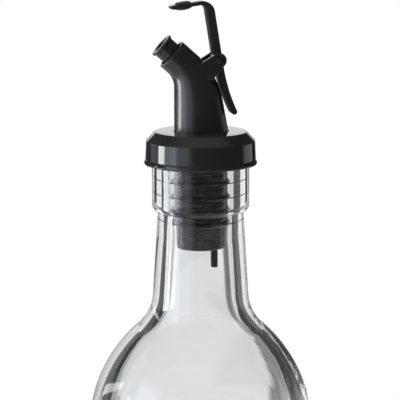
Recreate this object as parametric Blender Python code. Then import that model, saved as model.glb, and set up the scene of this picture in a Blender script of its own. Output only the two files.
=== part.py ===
# An oil and vinegar bottle: clear round glass, closed by a ribbed stopper that carries a
# black pourer with a flip lever. Lengths below are in millimetres and angles in degrees;
# the meshes are made in metres. The origin is the middle of the base, +Z is up, and the
# spout points to -X. The lever stands open, as it does while oil is poured.

import bmesh
import bpy
from math import acos, asin, atan2, cos, degrees, hypot, pi, radians, sin, tan
from mathutils import Matrix, Vector

MM = 0.001
GAP = 0.3                       # clearance between neighbouring pieces
CUTTER_REACH = 1.0              # how far a cutter runs past the face it opens

# Glass bottle
MOUTH_HEIGHT = 232.0            # height of the glass
BODY_RADIUS = 35.9
BODY_WALL = 3.4
SHOULDER_WALL = 6.0             # the glass is thickest where the shoulder ends
THINNING_LENGTH = 50.0          # below the shoulder, over which the wall thins out
THINNING_STEPS = 5
SHOULDER_DROP = 93.6            # from the mouth down to where the shoulder starts
SHOULDER_RADIUS = 45.8          # convex sweep of the shoulder
THROAT_RADIUS = 16.1            # concave sweep into the neck
NECK_RADIUS = 13.4              # right under the finish band
NECK_TAPER = 0.064              # growth of the neck's radius for each unit of drop
NECK_WALL = 4.0
NECK_SHARES = (0.0, 0.3, 0.65)  # where along the neck its outline has points
THROAT_WALL = 3.9               # where the throat meets the shoulder
FINISH_RADIUS = 15.15           # the thick band at the mouth
FINISH_HEIGHT = 22.0
FINISH_CORNER = 1.7
FINISH_CORNER_TURN = 80.0
FINISH_FILLET = 0.6             # under the band, where it meets the neck
BORE_RADIUS = 9.4
BORE_DEPTH = 27.0               # straight bore below the mouth
BORE_BLEND = 4.0                # length over which the bore runs into the neck's inner side
LIP_ROUND = 1.0
BASE_THICKNESS = 5.6
PUNT_RISE = 3.2                 # hollow under the base
FOOT_INNER = 24.5               # flat ring that the bottle stands on
FOOT_OUTER = 31.2
INNER_HEEL = 7.0
INNER_HEEL_TURN = 82.0
INNER_HEEL_SINK = 1.6           # lowest part of the inside below the floor's middle
FLOOR_CROWN_RADIUS = 14.0
FLOOR_CROWN = 0.5
BODY_MIDDLE = 72.0
GLASS_STEPS = 42
THROAT_STEPS = 7
SHOULDER_STEPS = 10

# Pourer cap, measured down from its top face
CAP_TOP = MOUTH_HEIGHT + 3.3
CAP_TOP_RADIUS = 14.2
CAP_CHAMFER_RADIUS = 16.9
CAP_CHAMFER_DROP = 2.9
CAP_WALL_RADIUS = 17.15
CAP_WALL_DROP = 8.7
CAP_GROOVE_DEPTH = 0.15         # fine line above the lip
CAP_GROOVE_WIDTH = 0.35
CAP_LIP_TOP_RADIUS = 17.2
CAP_LIP_RADIUS = 17.58
CAP_LIP_DROP = 10.05
CAP_LIP_ROUND = 0.5
CAP_HEIGHT = 10.5
CAP_CEILING = 1.7
CAP_STEPS = 42

# Stopper
FLANGE_RADIUS = 13.0
FLANGE_THICKNESS = 1.0
FLANGE_EDGE = 0.3
CORE_RADIUS = 8.2
TAIL_RADIUS = 7.5
TAIL_TAPER = 0.25
TAIL_STEP = 0.8                 # below the last rib
TAIL_EDGE = 0.5
RIB_THICKNESS = 1.0
RIB_SLOPE = 0.5                 # upper side of a rib
RIB_TOP_EDGE = 0.3
RIB_LOW_EDGE = 0.2
RIB_DROPS = (15.6, 20.1, 25.2, 28.6)    # lower edge of each rib below the cap's top face
STOPPER_DROP = 36.3
SPIGOT_SOCKET_DROP = 14.0
POUR_HOLE_RADIUS = 2.95
POUR_HOLE_X = -1.7
POUR_HOLE_SIDES = 24
AIR_HOLE_SIDES = 16
STOPPER_STEPS = 32

# Air tube
AIR_TUBE_RADIUS = 1.12
AIR_TUBE_BORE = 0.55
AIR_TUBE_X = 4.4
AIR_TUBE_TOP_DROP = 14.5
AIR_TUBE_END_DROP = 43.0
AIR_TUBE_EDGE = 0.2
AIR_TUBE_STEPS = 20

# Spout tower: its front line, its back line and its half width
FRONT_X = -8.2
FRONT_BEND = 6.0
BACK_X = 8.65
BACK_LEAN = 10.8
BACK_BEND = 26.0
TOWER_HALF_WIDTH = 6.5
FOOT_SINK = 0.3                 # the foot stands in a shallow pocket in the cap
POCKET_DEPTH = 0.6
SPIGOT_RADIUS = 5.5
SPIGOT_DROP = 13.7
SPIGOT_ROOT = 2.0               # how far it reaches up into the tower
SPIGOT_SIDES = 28
CHANNEL_RADIUS = 3.6
CHANNEL_BEND = 8.0
CHANNEL_SIDES = 20
CHANNEL_MOUTH_RADIUS = 2.8      # where it meets the nozzle
CHANNEL_MOUTH_END = 7.0         # below the collar's end, where it has its full width
TOWER_STEPS = 28
UPRIGHT_RINGS = 5
BEND_RINGS = 10

# Collar and nozzle, along the spout's own axis
SPOUT_RISE = 41.5               # angle of the spout above the horizontal
COLLAR_RADIUS = 5.05
COLLAR_X = -9.1                 # middle of the collar's end
COLLAR_Z = 23.95
COLLAR_EDGE = 0.3
RECESS_RADIUS = 4.35
RECESS_DEPTH = 0.8
NOZZLE_RADIUS = 3.5
NOZZLE_RIM_RADIUS = 3.95
NOZZLE_RIM = 0.85
NOZZLE_REACH = 4.3              # how far it stands out of the collar
NOZZLE_INSET = 5.4
NOZZLE_BORE = 2.4
NOZZLE_LIP = 0.3
NOZZLE_EDGE = 0.25
NOZZLE_RIM_ROOT = 0.2           # slope from the rim back to the tube
NOZZLE_NECKING = 0.05
NOZZLE_STEPS = 32

# Hinge
PIVOT_X = 5.05
PIVOT_Z = 22.05
EAR_INNER = 3.3
EAR_OUTER = 4.8
EAR_RADIUS = 2.25
EAR_TIP_X = 2.88                # lower corner of the ears
EAR_TIP_Z = 16.0
EAR_ROOT = (-2.6, 20.0)         # where the ears' upper edge dies into the tower
EAR_BELLY = (-2.0, 17.0)
PIN_RADIUS = 0.9
PIN_HALF_LENGTH = 4.7
HINGE_SIDES = 20
HINGE_TURN = 4.0                # turns the flats of the round hinge pieces

# Lever
CLOSING_ANGLE = 40.0
LEVER_HALF_WIDTH = 3.0
HUB_RADIUS = 2.0
ARM_LEAN = 9.2
ARM_FRONT = 1.15                # front face of the upright arm ahead of the pivot
ARM_BACK = 1.25
FINGER_THICKNESS = 1.2
FINGER_REACH = 3.45             # from the pad's middle to the tip
INNER_BEND = 1.6
OUTER_BEND = 3.8
TAIL_START = 2.2                # drop below the pivot where the tail starts to curve
TAIL_BEND = 51.0
TAIL_END_LEAN = 25.3
TAIL_ROOT_THICKNESS = 2.2
TAIL_END_THICKNESS = 1.75
TAIL_STEPS = 9
LEVER_EDGE = 0.25

# Seal pad on the lever's finger
PAD_RADIUS = 2.7
PAD_DROP = 0.75                 # pad's lowest point below the finger
PAD_EDGE_THICKNESS = 0.25
PAD_EDGE = 0.1
PAD_CROWN = 0.04
BUTTON_RADIUS = 2.6
BUTTON_HEIGHT = 0.4
BUTTON_EDGE = 0.1
PAD_STEM_RADIUS = 1.0
PAD_STEPS = 24

SPOUT = Vector((-cos(radians(SPOUT_RISE)), sin(radians(SPOUT_RISE))))
PIVOT = Vector((PIVOT_X, PIVOT_Z))


def arc(middle, radius, start, end, steps):
    """Points on a circle from one angle to another, both included."""
    points = []
    for i in range(steps + 1):
        angle = radians(start + (end - start) * i / steps)
        points.append((middle[0] + radius * cos(angle), middle[1] + radius * sin(angle)))
    return points


def rounded(before, corner, after, radius, steps):
    """The arc that rounds the corner between two straight lines."""
    corner = Vector(corner)
    first = (Vector(before) - corner).normalized()
    second = (Vector(after) - corner).normalized()
    half = acos(max(-1.0, min(1.0, first.dot(second)))) / 2.0
    middle = corner + (first + second).normalized() * (radius / sin(half))
    start = corner + first * (radius / tan(half)) - middle
    end = corner + second * (radius / tan(half)) - middle
    a0 = degrees(atan2(start.y, start.x))
    a1 = degrees(atan2(end.y, end.x))
    turn = (a1 - a0 + 180.0) % 360.0 - 180.0
    return arc(middle, radius, a0, a0 + turn, steps)


def clear_scene():
    for item in list(bpy.data.objects):
        bpy.data.objects.remove(item, do_unlink=True)


def plastic(name, color, roughness):
    material = bpy.data.materials.new(name)
    material.use_nodes = True
    shader = material.node_tree.nodes["Principled BSDF"]
    shader.inputs["Base Color"].default_value = (*color, 1.0)
    shader.inputs["Roughness"].default_value = roughness
    shader.inputs["Metallic"].default_value = 0.0
    return material


def clear_glass(name):
    material = plastic(name, (0.93, 0.96, 0.95), 0.02)
    shader = material.node_tree.nodes["Principled BSDF"]
    shader.inputs["Transmission Weight"].default_value = 1.0
    shader.inputs["IOR"].default_value = 1.52
    return material


def finish_mesh(name, work, material, sharp=35.0):
    """Closes up a bmesh drawn in millimetres and makes it an object."""
    bmesh.ops.remove_doubles(work, verts=work.verts, dist=1e-4)
    bmesh.ops.scale(work, vec=(MM, MM, MM), verts=work.verts)
    bmesh.ops.recalc_face_normals(work, faces=work.faces)
    mesh = bpy.data.meshes.new(name)
    work.to_mesh(mesh)
    work.free()
    mesh.materials.append(material)
    mesh.shade_smooth()
    mesh.set_sharp_from_angle(angle=radians(sharp))
    item = bpy.data.objects.new(name, mesh)
    bpy.context.scene.collection.objects.link(item)
    return item


def turned(name, outline, steps, material, sharp=35.0):
    """A round piece: an outline of (radius, height) spun about the vertical."""
    work = bmesh.new()
    verts = [work.verts.new((radius, 0.0, height)) for radius, height in outline]
    edges = [work.edges.new(pair) for pair in zip(verts, verts[1:])]
    if outline[0][0] > 0.0:
        edges.append(work.edges.new((verts[-1], verts[0])))
    bmesh.ops.spin(work, geom=verts + edges, cent=(0, 0, 0), axis=(0, 0, 1), dvec=(0, 0, 0),
                   angle=2.0 * pi, steps=steps, use_merge=True)
    return finish_mesh(name, work, material, sharp)


def lofted(name, rings, material, sharp=35.0):
    """A skin over closed rings with flat ends."""
    work = bmesh.new()
    rows = [[work.verts.new(point) for point in ring] for ring in rings]
    count = len(rings[0])
    for low, high in zip(rows, rows[1:]):
        for i in range(count):
            j = (i + 1) % count
            work.faces.new((low[i], low[j], high[j], high[i]))
    work.faces.new(rows[0])
    work.faces.new(rows[-1])
    return finish_mesh(name, work, material, sharp)


def plate(name, outline, low_y, high_y, material):
    """A flat piece: an (x, z) outline given a thickness along Y."""
    rings = [[above_cap(point, y) for point in outline] for y in (low_y, high_y)]
    return lofted(name, rings, material)


def cut(item, cutter, operation="DIFFERENCE"):
    """Adds a Boolean; a difference leaves its cutter in the file as a wire guide."""
    modifier = item.modifiers.new(operation.title(), "BOOLEAN")
    modifier.object = cutter
    modifier.operation = operation
    modifier.solver = "EXACT"
    cutter.hide_render = True
    cutter.display_type = "WIRE"


def above_cap(point, y=0.0):
    """A point of the pourer, whose (x, z) is measured from the cap's top face."""
    return Vector((point[0], y, CAP_TOP + point[1]))


def outer_glass():
    """The outer side of the glass from the neck down to the foot, top to bottom."""
    lean = asin(NECK_TAPER / hypot(1.0, NECK_TAPER))
    top = MOUTH_HEIGHT - FINISH_HEIGHT
    shoulder_r = BODY_RADIUS - SHOULDER_RADIUS
    shoulder_z = MOUTH_HEIGHT - SHOULDER_DROP
    # The throat's middle lies beside the neck line and touches the shoulder's circle.
    offset = THROAT_RADIUS / cos(lean)
    reach = SHOULDER_RADIUS + THROAT_RADIUS
    start = NECK_RADIUS + offset - shoulder_r + NECK_TAPER * (top - shoulder_z)
    a = 1.0 + NECK_TAPER ** 2
    b = -2.0 * NECK_TAPER * start
    c = start ** 2 - reach ** 2
    rise = (-b + (b * b - 4.0 * a * c) ** 0.5) / (2.0 * a)
    throat = (shoulder_r + start - NECK_TAPER * rise, shoulder_z + rise)
    meet = degrees(atan2(throat[1] - shoulder_z, throat[0] - shoulder_r))
    points = []
    walls = []
    throat_arc = arc(throat, THROAT_RADIUS, 180.0 + degrees(lean), 180.0 + meet, THROAT_STEPS)
    neck_end = throat_arc[0]
    for share in NECK_SHARES:
        height = top + (neck_end[1] - top) * share
        points.append((NECK_RADIUS + NECK_TAPER * (top - height), height))
        walls.append(NECK_WALL)
    for i, point in enumerate(throat_arc):
        points.append(point)
        walls.append(NECK_WALL + (THROAT_WALL - NECK_WALL) * i / THROAT_STEPS)
    shoulder_arc = arc((shoulder_r, shoulder_z), SHOULDER_RADIUS, meet, 0.0, SHOULDER_STEPS)
    for i in range(1, SHOULDER_STEPS + 1):
        points.append(shoulder_arc[i])
        walls.append(THROAT_WALL + (SHOULDER_WALL - THROAT_WALL) * i / SHOULDER_STEPS)
    return points, walls


def inner_glass(points, walls):
    """The inner side, a wall's thickness in from the outer side along its normal."""
    inner = []
    for i, (point, wall) in enumerate(zip(points, walls)):
        before = Vector(points[max(i - 1, 0)])
        after = Vector(points[min(i + 1, len(points) - 1)])
        along = (after - before).normalized()
        normal = Vector((along.y, -along.x))
        inner.append(tuple(Vector(point) + normal * wall))
    return inner


def thinning_glass():
    """The inner side below the shoulder, where the wall thins out to the body's."""
    points = []
    for i in range(1, THINNING_STEPS + 1):
        share = i / THINNING_STEPS
        ease = share * share * (3.0 - 2.0 * share)
        wall = SHOULDER_WALL + (BODY_WALL - SHOULDER_WALL) * ease
        height = MOUTH_HEIGHT - SHOULDER_DROP - THINNING_LENGTH * share
        points.append((BODY_RADIUS - wall, height))
    return points


def bottle_outline():
    side, walls = outer_glass()
    inside = inner_glass(side, walls)
    mouth = MOUTH_HEIGHT
    band = mouth - FINISH_HEIGHT
    heel = BODY_RADIUS - FOOT_OUTER
    inner_radius = BODY_RADIUS - BODY_WALL
    floor = PUNT_RISE + BASE_THICKNESS
    punt_radius = (FOOT_INNER ** 2 + PUNT_RISE ** 2) / (2.0 * PUNT_RISE)
    punt_angle = degrees(asin(FOOT_INNER / punt_radius))
    punt = arc((0.0, PUNT_RISE - punt_radius), punt_radius, 90.0, 90.0 - punt_angle, 4)
    outline = [(0.0, PUNT_RISE)] + punt[1:]
    outline += arc((FOOT_OUTER, heel), heel, -90.0, 0.0, 4)
    outline += [(BODY_RADIUS, BODY_MIDDLE)]
    outline += list(reversed(side))
    # The finish band, with a small fillet under it, and the rounded mouth.
    band_low = band + FINISH_FILLET
    outline += [(NECK_RADIUS, band_low)]
    outline += arc((FINISH_RADIUS - FINISH_CORNER, band_low + FINISH_CORNER), FINISH_CORNER,
                   -FINISH_CORNER_TURN, 0.0, 4)
    outline += [(FINISH_RADIUS, mouth - FINISH_HEIGHT / 2.0)]
    outline += arc((FINISH_RADIUS - LIP_ROUND, mouth - LIP_ROUND), LIP_ROUND, 0.0, 90.0, 3)
    outline += arc((BORE_RADIUS + LIP_ROUND, mouth - LIP_ROUND), LIP_ROUND, 90.0, 180.0, 3)
    outline += [(BORE_RADIUS, mouth - BORE_DEPTH / 2.0), (BORE_RADIUS, mouth - BORE_DEPTH)]
    outline += [point for point in inside if point[1] < mouth - BORE_DEPTH - BORE_BLEND]
    outline += thinning_glass()
    outline += arc((inner_radius - INNER_HEEL, floor - INNER_HEEL_SINK + INNER_HEEL), INNER_HEEL,
                   0.0, -INNER_HEEL_TURN, 5)
    outline += [(FLOOR_CROWN_RADIUS, floor - FLOOR_CROWN), (0.0, floor)]
    return outline


def make_bottle():
    glass = clear_glass("clear_glass")
    return turned("glass_bottle", bottle_outline(), GLASS_STEPS, glass, sharp=50.0)


def make_cap(black):
    wall = FINISH_RADIUS + GAP
    hole = SPIGOT_RADIUS + GAP
    down = CAP_TOP
    outline = [
        (hole, down),
        (CAP_TOP_RADIUS, down),
        (CAP_CHAMFER_RADIUS, down - CAP_CHAMFER_DROP),
        (CAP_WALL_RADIUS, down - CAP_WALL_DROP),
        (CAP_WALL_RADIUS - CAP_GROOVE_DEPTH, down - CAP_WALL_DROP - CAP_GROOVE_DEPTH),
        (CAP_LIP_TOP_RADIUS, down - CAP_WALL_DROP - CAP_GROOVE_WIDTH),
        (CAP_LIP_RADIUS, down - CAP_LIP_DROP),
        (CAP_LIP_RADIUS - CAP_LIP_ROUND * 0.4, down - CAP_HEIGHT + CAP_LIP_ROUND * 0.2),
        (CAP_LIP_RADIUS - CAP_LIP_ROUND, down - CAP_HEIGHT),
        (wall, down - CAP_HEIGHT),
        (wall, down - CAP_CEILING),
        (hole, down - CAP_CEILING),
    ]
    cap = turned("pourer_cap", outline, CAP_STEPS, black, sharp=12.0)
    foot = tower_ring((FRONT_X, 0.0), (BACK_X, 0.0), TOWER_HALF_WIDTH, GAP)
    low = [(x, y, CAP_TOP - POCKET_DEPTH) for x, y, _ in foot]
    high = [(x, y, CAP_TOP + POCKET_DEPTH) for x, y, _ in foot]
    cut(cap, lofted("cap_pocket_cutter", [low, high], black))
    return cap


def stopper_outline():
    top = CAP_TOP - CAP_CEILING - GAP
    socket = SPIGOT_RADIUS + GAP
    rib = BORE_RADIUS - GAP
    points = [(socket, top), (FLANGE_RADIUS - FLANGE_EDGE, top)]
    points += [(FLANGE_RADIUS, top - FLANGE_EDGE)]
    points += [(FLANGE_RADIUS, top - FLANGE_THICKNESS), (CORE_RADIUS, top - FLANGE_THICKNESS)]
    for drop in RIB_DROPS:
        low = CAP_TOP - drop
        points.append((CORE_RADIUS, low + RIB_THICKNESS + RIB_SLOPE))
        points.append((rib, low + RIB_THICKNESS - RIB_TOP_EDGE))
        points.append((rib, low + RIB_LOW_EDGE))
        points.append((CORE_RADIUS, low))
    bottom = CAP_TOP - STOPPER_DROP
    points += [(TAIL_RADIUS + TAIL_TAPER, CAP_TOP - RIB_DROPS[-1] - TAIL_STEP)]
    points += [(TAIL_RADIUS, bottom + TAIL_EDGE), (TAIL_RADIUS - TAIL_EDGE, bottom), (0.0, bottom)]
    points += [(0.0, CAP_TOP - SPIGOT_SOCKET_DROP), (socket, CAP_TOP - SPIGOT_SOCKET_DROP)]
    return points


def turned_shell(name, outline, steps, material):
    """A round piece whose outline starts off the axis and crosses it on the way round."""
    work = bmesh.new()
    verts = [work.verts.new((radius, 0.0, height)) for radius, height in outline]
    edges = []
    for first, second in zip(verts, verts[1:] + verts[:1]):
        if first.co.x > 0.0 or second.co.x > 0.0:
            edges.append(work.edges.new((first, second)))
    bmesh.ops.spin(work, geom=verts + edges, cent=(0, 0, 0), axis=(0, 0, 1), dvec=(0, 0, 0),
                   angle=2.0 * pi, steps=steps, use_merge=True)
    return finish_mesh(name, work, material)


def rod(name, x, y, radius, low, high, steps, material):
    ring = []
    for i in range(steps):
        angle = 2.0 * pi * i / steps
        ring.append((x + radius * cos(angle), y + radius * sin(angle)))
    rings = [[(px, py, z) for px, py in ring] for z in (low, high)]
    return lofted(name, rings, material)


def make_stopper(soft):
    stopper = turned_shell("stopper", stopper_outline(), STOPPER_STEPS, soft)
    low = CAP_TOP - STOPPER_DROP - CUTTER_REACH
    high = CAP_TOP - SPIGOT_SOCKET_DROP + CUTTER_REACH
    cut(stopper, rod("pour_hole_cutter", POUR_HOLE_X, 0.0, POUR_HOLE_RADIUS, low, high,
                     POUR_HOLE_SIDES, soft))
    cut(stopper, rod("air_hole_cutter", AIR_TUBE_X, 0.0, AIR_TUBE_RADIUS + GAP, low, high,
                     AIR_HOLE_SIDES, soft))
    return stopper


def make_air_tube(soft):
    high = CAP_TOP - AIR_TUBE_TOP_DROP
    low = CAP_TOP - AIR_TUBE_END_DROP
    outline = [(AIR_TUBE_BORE, high), (AIR_TUBE_RADIUS, high),
               (AIR_TUBE_RADIUS, low + AIR_TUBE_EDGE), (AIR_TUBE_RADIUS - AIR_TUBE_EDGE, low),
               (AIR_TUBE_BORE, low)]
    tube = turned("air_tube", outline, AIR_TUBE_STEPS, soft)
    tube.location.x = AIR_TUBE_X * MM
    return tube


def tower_ring(front, back, half_width, grow=0.0):
    """An oval ring through a front and a back point of the tower's middle plane."""
    front = Vector(front)
    back = Vector(back)
    middle = (front + back) / 2.0
    along = (back - front) / 2.0
    along = along * ((along.length + grow) / along.length)
    ring = []
    for i in range(TOWER_STEPS):
        angle = 2.0 * pi * i / TOWER_STEPS
        side = (half_width + grow) * sin(angle)
        flat = middle + along * cos(angle)
        ring.append(above_cap(flat, side))
    return ring


def along_line(points, share):
    """The point at a share of the length of a line of points."""
    lengths = [(Vector(b) - Vector(a)).length for a, b in zip(points, points[1:])]
    left = share * sum(lengths)
    for start, end, length in zip(points, points[1:], lengths):
        if left <= length:
            return Vector(start).lerp(Vector(end), left / length)
        left -= length
    return Vector(points[-1])


def crossing(first, first_way, second, second_way):
    """Where two lines meet, each given by a point and a direction."""
    apart = second - first
    share = (apart.x * second_way.y - apart.y * second_way.x) / (
        first_way.x * second_way.y - first_way.y * second_way.x)
    return first + first_way * share


def tower_rings():
    """Level ovals in the upright part, then ovals that fan out round the bend to the collar."""
    across = Vector((-SPOUT.y, SPOUT.x))
    collar = Vector((COLLAR_X, COLLAR_Z))
    front_end = collar + across * COLLAR_RADIUS
    back_end = collar - across * COLLAR_RADIUS
    front_foot = Vector((FRONT_X, 0.0))
    back_foot = Vector((BACK_X, 0.0))
    back_way = Vector((-sin(radians(BACK_LEAN)), cos(radians(BACK_LEAN))))
    front_corner = crossing(front_foot, Vector((0.0, 1.0)), front_end, SPOUT)
    back_corner = crossing(back_foot, back_way, back_end, SPOUT)
    front_bend = rounded(front_foot, front_corner, front_end, FRONT_BEND, 6)
    back_bend = rounded(back_foot, back_corner, back_end, BACK_BEND, 12)
    bend_start = back_bend[0][1]
    rings = []
    for i in range(UPRIGHT_RINGS):
        height = -FOOT_SINK + (bend_start + FOOT_SINK) * i / UPRIGHT_RINGS
        back_x = BACK_X - height * tan(radians(BACK_LEAN))
        rings.append(tower_ring((FRONT_X, height), (back_x, height), TOWER_HALF_WIDTH))
    front_line = [(FRONT_X, bend_start)] + front_bend
    for i in range(BEND_RINGS + 1):
        share = i / BEND_RINGS
        ease = share * share * (3.0 - 2.0 * share)
        width = TOWER_HALF_WIDTH + (COLLAR_RADIUS - TOWER_HALF_WIDTH) * ease
        rings.append(tower_ring(along_line(front_line, share), along_line(back_bend, share),
                                width))
    for share in (0.4, 1.0):
        front = Vector(front_bend[-1]).lerp(front_end - SPOUT * COLLAR_EDGE, share)
        back = Vector(back_bend[-1]).lerp(back_end - SPOUT * COLLAR_EDGE, share)
        rings.append(tower_ring(front, back, COLLAR_RADIUS))
    edge = across * COLLAR_EDGE
    rings.append(tower_ring(front_end - edge, back_end + edge, COLLAR_RADIUS - COLLAR_EDGE))
    return rings


def ear_outline():
    """A rounded triangle: the two lines from its corners touch the round end."""
    root = Vector(EAR_ROOT)
    tip = Vector((EAR_TIP_X, EAR_TIP_Z))
    ends = []
    for corner, side in ((root, 1.0), (tip, -1.0)):
        away = PIVOT - corner
        spread = asin(EAR_RADIUS / away.length)
        angle = atan2(away.y, away.x) + side * spread
        ends.append(degrees(angle) + side * 90.0)
    return [root] + arc(PIVOT, EAR_RADIUS, ends[0], ends[1], 16) + [tip, Vector(EAR_BELLY)]


def spout_frame():
    """Turns a piece drawn upright so that it points along the spout from the collar's end."""
    middle = above_cap((COLLAR_X, COLLAR_Z)) * MM
    turn = Matrix.Rotation(-radians(90.0 - SPOUT_RISE), 4, "Y")
    return Matrix.Translation(middle) @ turn


def channel_cutter(black):
    """A bent round bar: along the spout's axis, then down through the spigot."""
    collar = Vector((COLLAR_X, COLLAR_Z))
    elbow = collar - SPOUT * (collar.x / SPOUT.x)
    mouth = [collar - SPOUT * (NOZZLE_INSET - CUTTER_REACH), collar - SPOUT * (NOZZLE_INSET + GAP)]
    line = mouth + [collar - SPOUT * CHANNEL_MOUTH_END]
    line += rounded(collar, elbow, elbow - Vector((0.0, CHANNEL_BEND)), CHANNEL_BEND, 6)
    line += [Vector((0.0, -SPIGOT_DROP - CUTTER_REACH))]
    rings = []
    for i, point in enumerate(line):
        radius = CHANNEL_MOUTH_RADIUS if i < len(mouth) else CHANNEL_RADIUS
        before = Vector(line[max(i - 1, 0)])
        after = Vector(line[min(i + 1, len(line) - 1)])
        way = (after - before).normalized()
        across = Vector((way.y, -way.x))
        ring = []
        for k in range(CHANNEL_SIDES):
            angle = 2.0 * pi * k / CHANNEL_SIDES
            flat = Vector(point) + across * (radius * cos(angle))
            ring.append(above_cap(flat, radius * sin(angle)))
        rings.append(ring)
    return lofted("channel_cutter", rings, black)


def make_tower(black):
    tower = lofted("spout_tower", tower_rings(), black, sharp=40.0)
    spigot = rod("spigot_former", 0.0, 0.0, SPIGOT_RADIUS, CAP_TOP - SPIGOT_DROP,
                 CAP_TOP + SPIGOT_ROOT, SPIGOT_SIDES, black)
    cut(tower, spigot, "UNION")
    for side in (-1.0, 1.0):
        name = "ear_former_left" if side < 0 else "ear_former_right"
        cut(tower, plate(name, ear_outline(), side * EAR_INNER, side * EAR_OUTER, black), "UNION")
    cut(tower, channel_cutter(black))
    socket_outline = [(0.0, -NOZZLE_INSET - GAP), (NOZZLE_RADIUS + GAP, -NOZZLE_INSET - GAP),
                      (NOZZLE_RADIUS + GAP, -RECESS_DEPTH), (RECESS_RADIUS, -RECESS_DEPTH),
                      (RECESS_RADIUS, CUTTER_REACH), (0.0, CUTTER_REACH)]
    socket = turned("nozzle_socket_cutter", socket_outline, NOZZLE_STEPS, black)
    socket.matrix_world = spout_frame()
    cut(tower, socket)
    cut(tower, hinge_bar("pin_hole_cutter", PIN_RADIUS + GAP, EAR_OUTER + CUTTER_REACH,
                         black))
    return tower


def make_nozzle(black):
    rim = NOZZLE_REACH - NOZZLE_RIM
    outline = [
        (NOZZLE_BORE, -NOZZLE_INSET),
        (NOZZLE_BORE, NOZZLE_REACH - NOZZLE_LIP),
        (NOZZLE_BORE + NOZZLE_LIP, NOZZLE_REACH),
        (NOZZLE_RIM_RADIUS - NOZZLE_EDGE, NOZZLE_REACH),
        (NOZZLE_RIM_RADIUS, NOZZLE_REACH - NOZZLE_EDGE),
        (NOZZLE_RIM_RADIUS, rim + NOZZLE_RIM_ROOT),
        (NOZZLE_RADIUS - NOZZLE_NECKING, rim - NOZZLE_RIM_ROOT),
        (NOZZLE_RADIUS, -NOZZLE_INSET),
    ]
    nozzle = turned("nozzle_tube", outline, NOZZLE_STEPS, black)
    nozzle.matrix_world = spout_frame()
    return nozzle


def hinge_bar(name, radius, half_length, material):
    """A round bar on the hinge's axis."""
    last = HINGE_TURN + 360.0 - 360.0 / HINGE_SIDES
    rings = []
    for y in (-half_length, half_length):
        ring = []
        for point in arc(PIVOT, radius, HINGE_TURN, last, HINGE_SIDES - 1):
            ring.append(above_cap(point, y))
        rings.append(ring)
    return lofted(name, rings, material)


def pad_middle():
    """The pad's lowest point while open: its closed place turned back about the pivot."""
    closed = Vector((COLLAR_X, COLLAR_Z)) + SPOUT * (NOZZLE_REACH + GAP)
    turn = Matrix.Rotation(-radians(CLOSING_ANGLE), 2)
    return PIVOT + turn @ (closed - PIVOT)


def finger_line():
    """Direction of the finger towards its tip, and its outward normal, while open."""
    fall = radians(SPOUT_RISE - 90.0 + CLOSING_ANGLE)
    along = Vector((-cos(fall), sin(fall)))
    return along, Vector((along.y, -along.x))


def lever_outline():
    """Side view of the lever: finger, bend, upright arm with its hub, and curved tail."""
    along, up = finger_line()
    under = pad_middle() + up * PAD_DROP
    arm_down = Vector((sin(radians(ARM_LEAN)), -cos(radians(ARM_LEAN))))
    arm_out = Vector((cos(radians(ARM_LEAN)), sin(radians(ARM_LEAN))))
    front = PIVOT - arm_out * ARM_FRONT
    back = PIVOT + arm_out * ARM_BACK
    tip = under + along * FINGER_REACH
    half = FINGER_THICKNESS / 2.0

    inner = crossing(under, along, front, arm_down)
    outer = crossing(under + up * FINGER_THICKNESS, along, back, arm_down)
    tail_top = back + arm_down * TAIL_START
    middle = tail_top + arm_out * TAIL_BEND
    outside = arc(middle, TAIL_BEND, 180.0 + ARM_LEAN, 180.0 + TAIL_END_LEAN, TAIL_STEPS)
    inside = []
    for i, point in enumerate(outside):
        share = i / TAIL_STEPS
        angle = radians(180.0 + ARM_LEAN + (TAIL_END_LEAN - ARM_LEAN) * share)
        thick = TAIL_ROOT_THICKNESS + (TAIL_END_THICKNESS - TAIL_ROOT_THICKNESS) * share
        inside.append(Vector(point) + Vector((cos(angle), sin(angle))) * thick)
    end_angle = TAIL_END_LEAN
    end_middle = (Vector(outside[-1]) + inside[-1]) / 2.0
    cap_end = arc(end_middle, TAIL_END_THICKNESS / 2.0, end_angle, end_angle - 180.0, 6)

    upward = degrees(atan2(up.y, up.x))
    points = arc(tip + up * half, half, upward + 180.0, upward, 6)
    points += rounded(tip + up * FINGER_THICKNESS, outer, tail_top, OUTER_BEND, 8)
    points += outside
    points += cap_end[1:-1]
    points += inside[::-1]
    points += [front - arm_down * TAIL_START]
    points += rounded(front, inner, tip, INNER_BEND, 6)
    return points


def make_lever(black):
    lever = plate("lever", lever_outline(), -LEVER_HALF_WIDTH, LEVER_HALF_WIDTH, black)
    hub = hinge_bar("hub_former", HUB_RADIUS, LEVER_HALF_WIDTH, black)
    cut(lever, hub, "UNION")
    cut(lever, hinge_bar("hub_bore_cutter", PIN_RADIUS + GAP, LEVER_HALF_WIDTH + CUTTER_REACH,
                         black))
    wide = PAD_STEM_RADIUS + GAP
    low = -CUTTER_REACH
    high = PAD_DROP + FINGER_THICKNESS + CUTTER_REACH
    hole = turned("pad_hole_cutter", [(0.0, low), (wide, low), (wide, high), (0.0, high)],
                  PAD_STEPS, black)
    hole.matrix_world = pad_frame()
    cut(lever, hole)
    edge = lever.modifiers.new("Edge", "BEVEL")
    edge.width = LEVER_EDGE * MM
    edge.segments = 1
    edge.limit_method = "ANGLE"
    edge.angle_limit = radians(50.0)
    return lever


def pad_frame():
    """Places a piece drawn upright on the finger, its zero at the pad's lowest point."""
    _, up = finger_line()
    middle = above_cap(pad_middle()) * MM
    turn = Matrix.Rotation(atan2(up.x, up.y), 4, "Y")
    return Matrix.Translation(middle) @ turn


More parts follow.
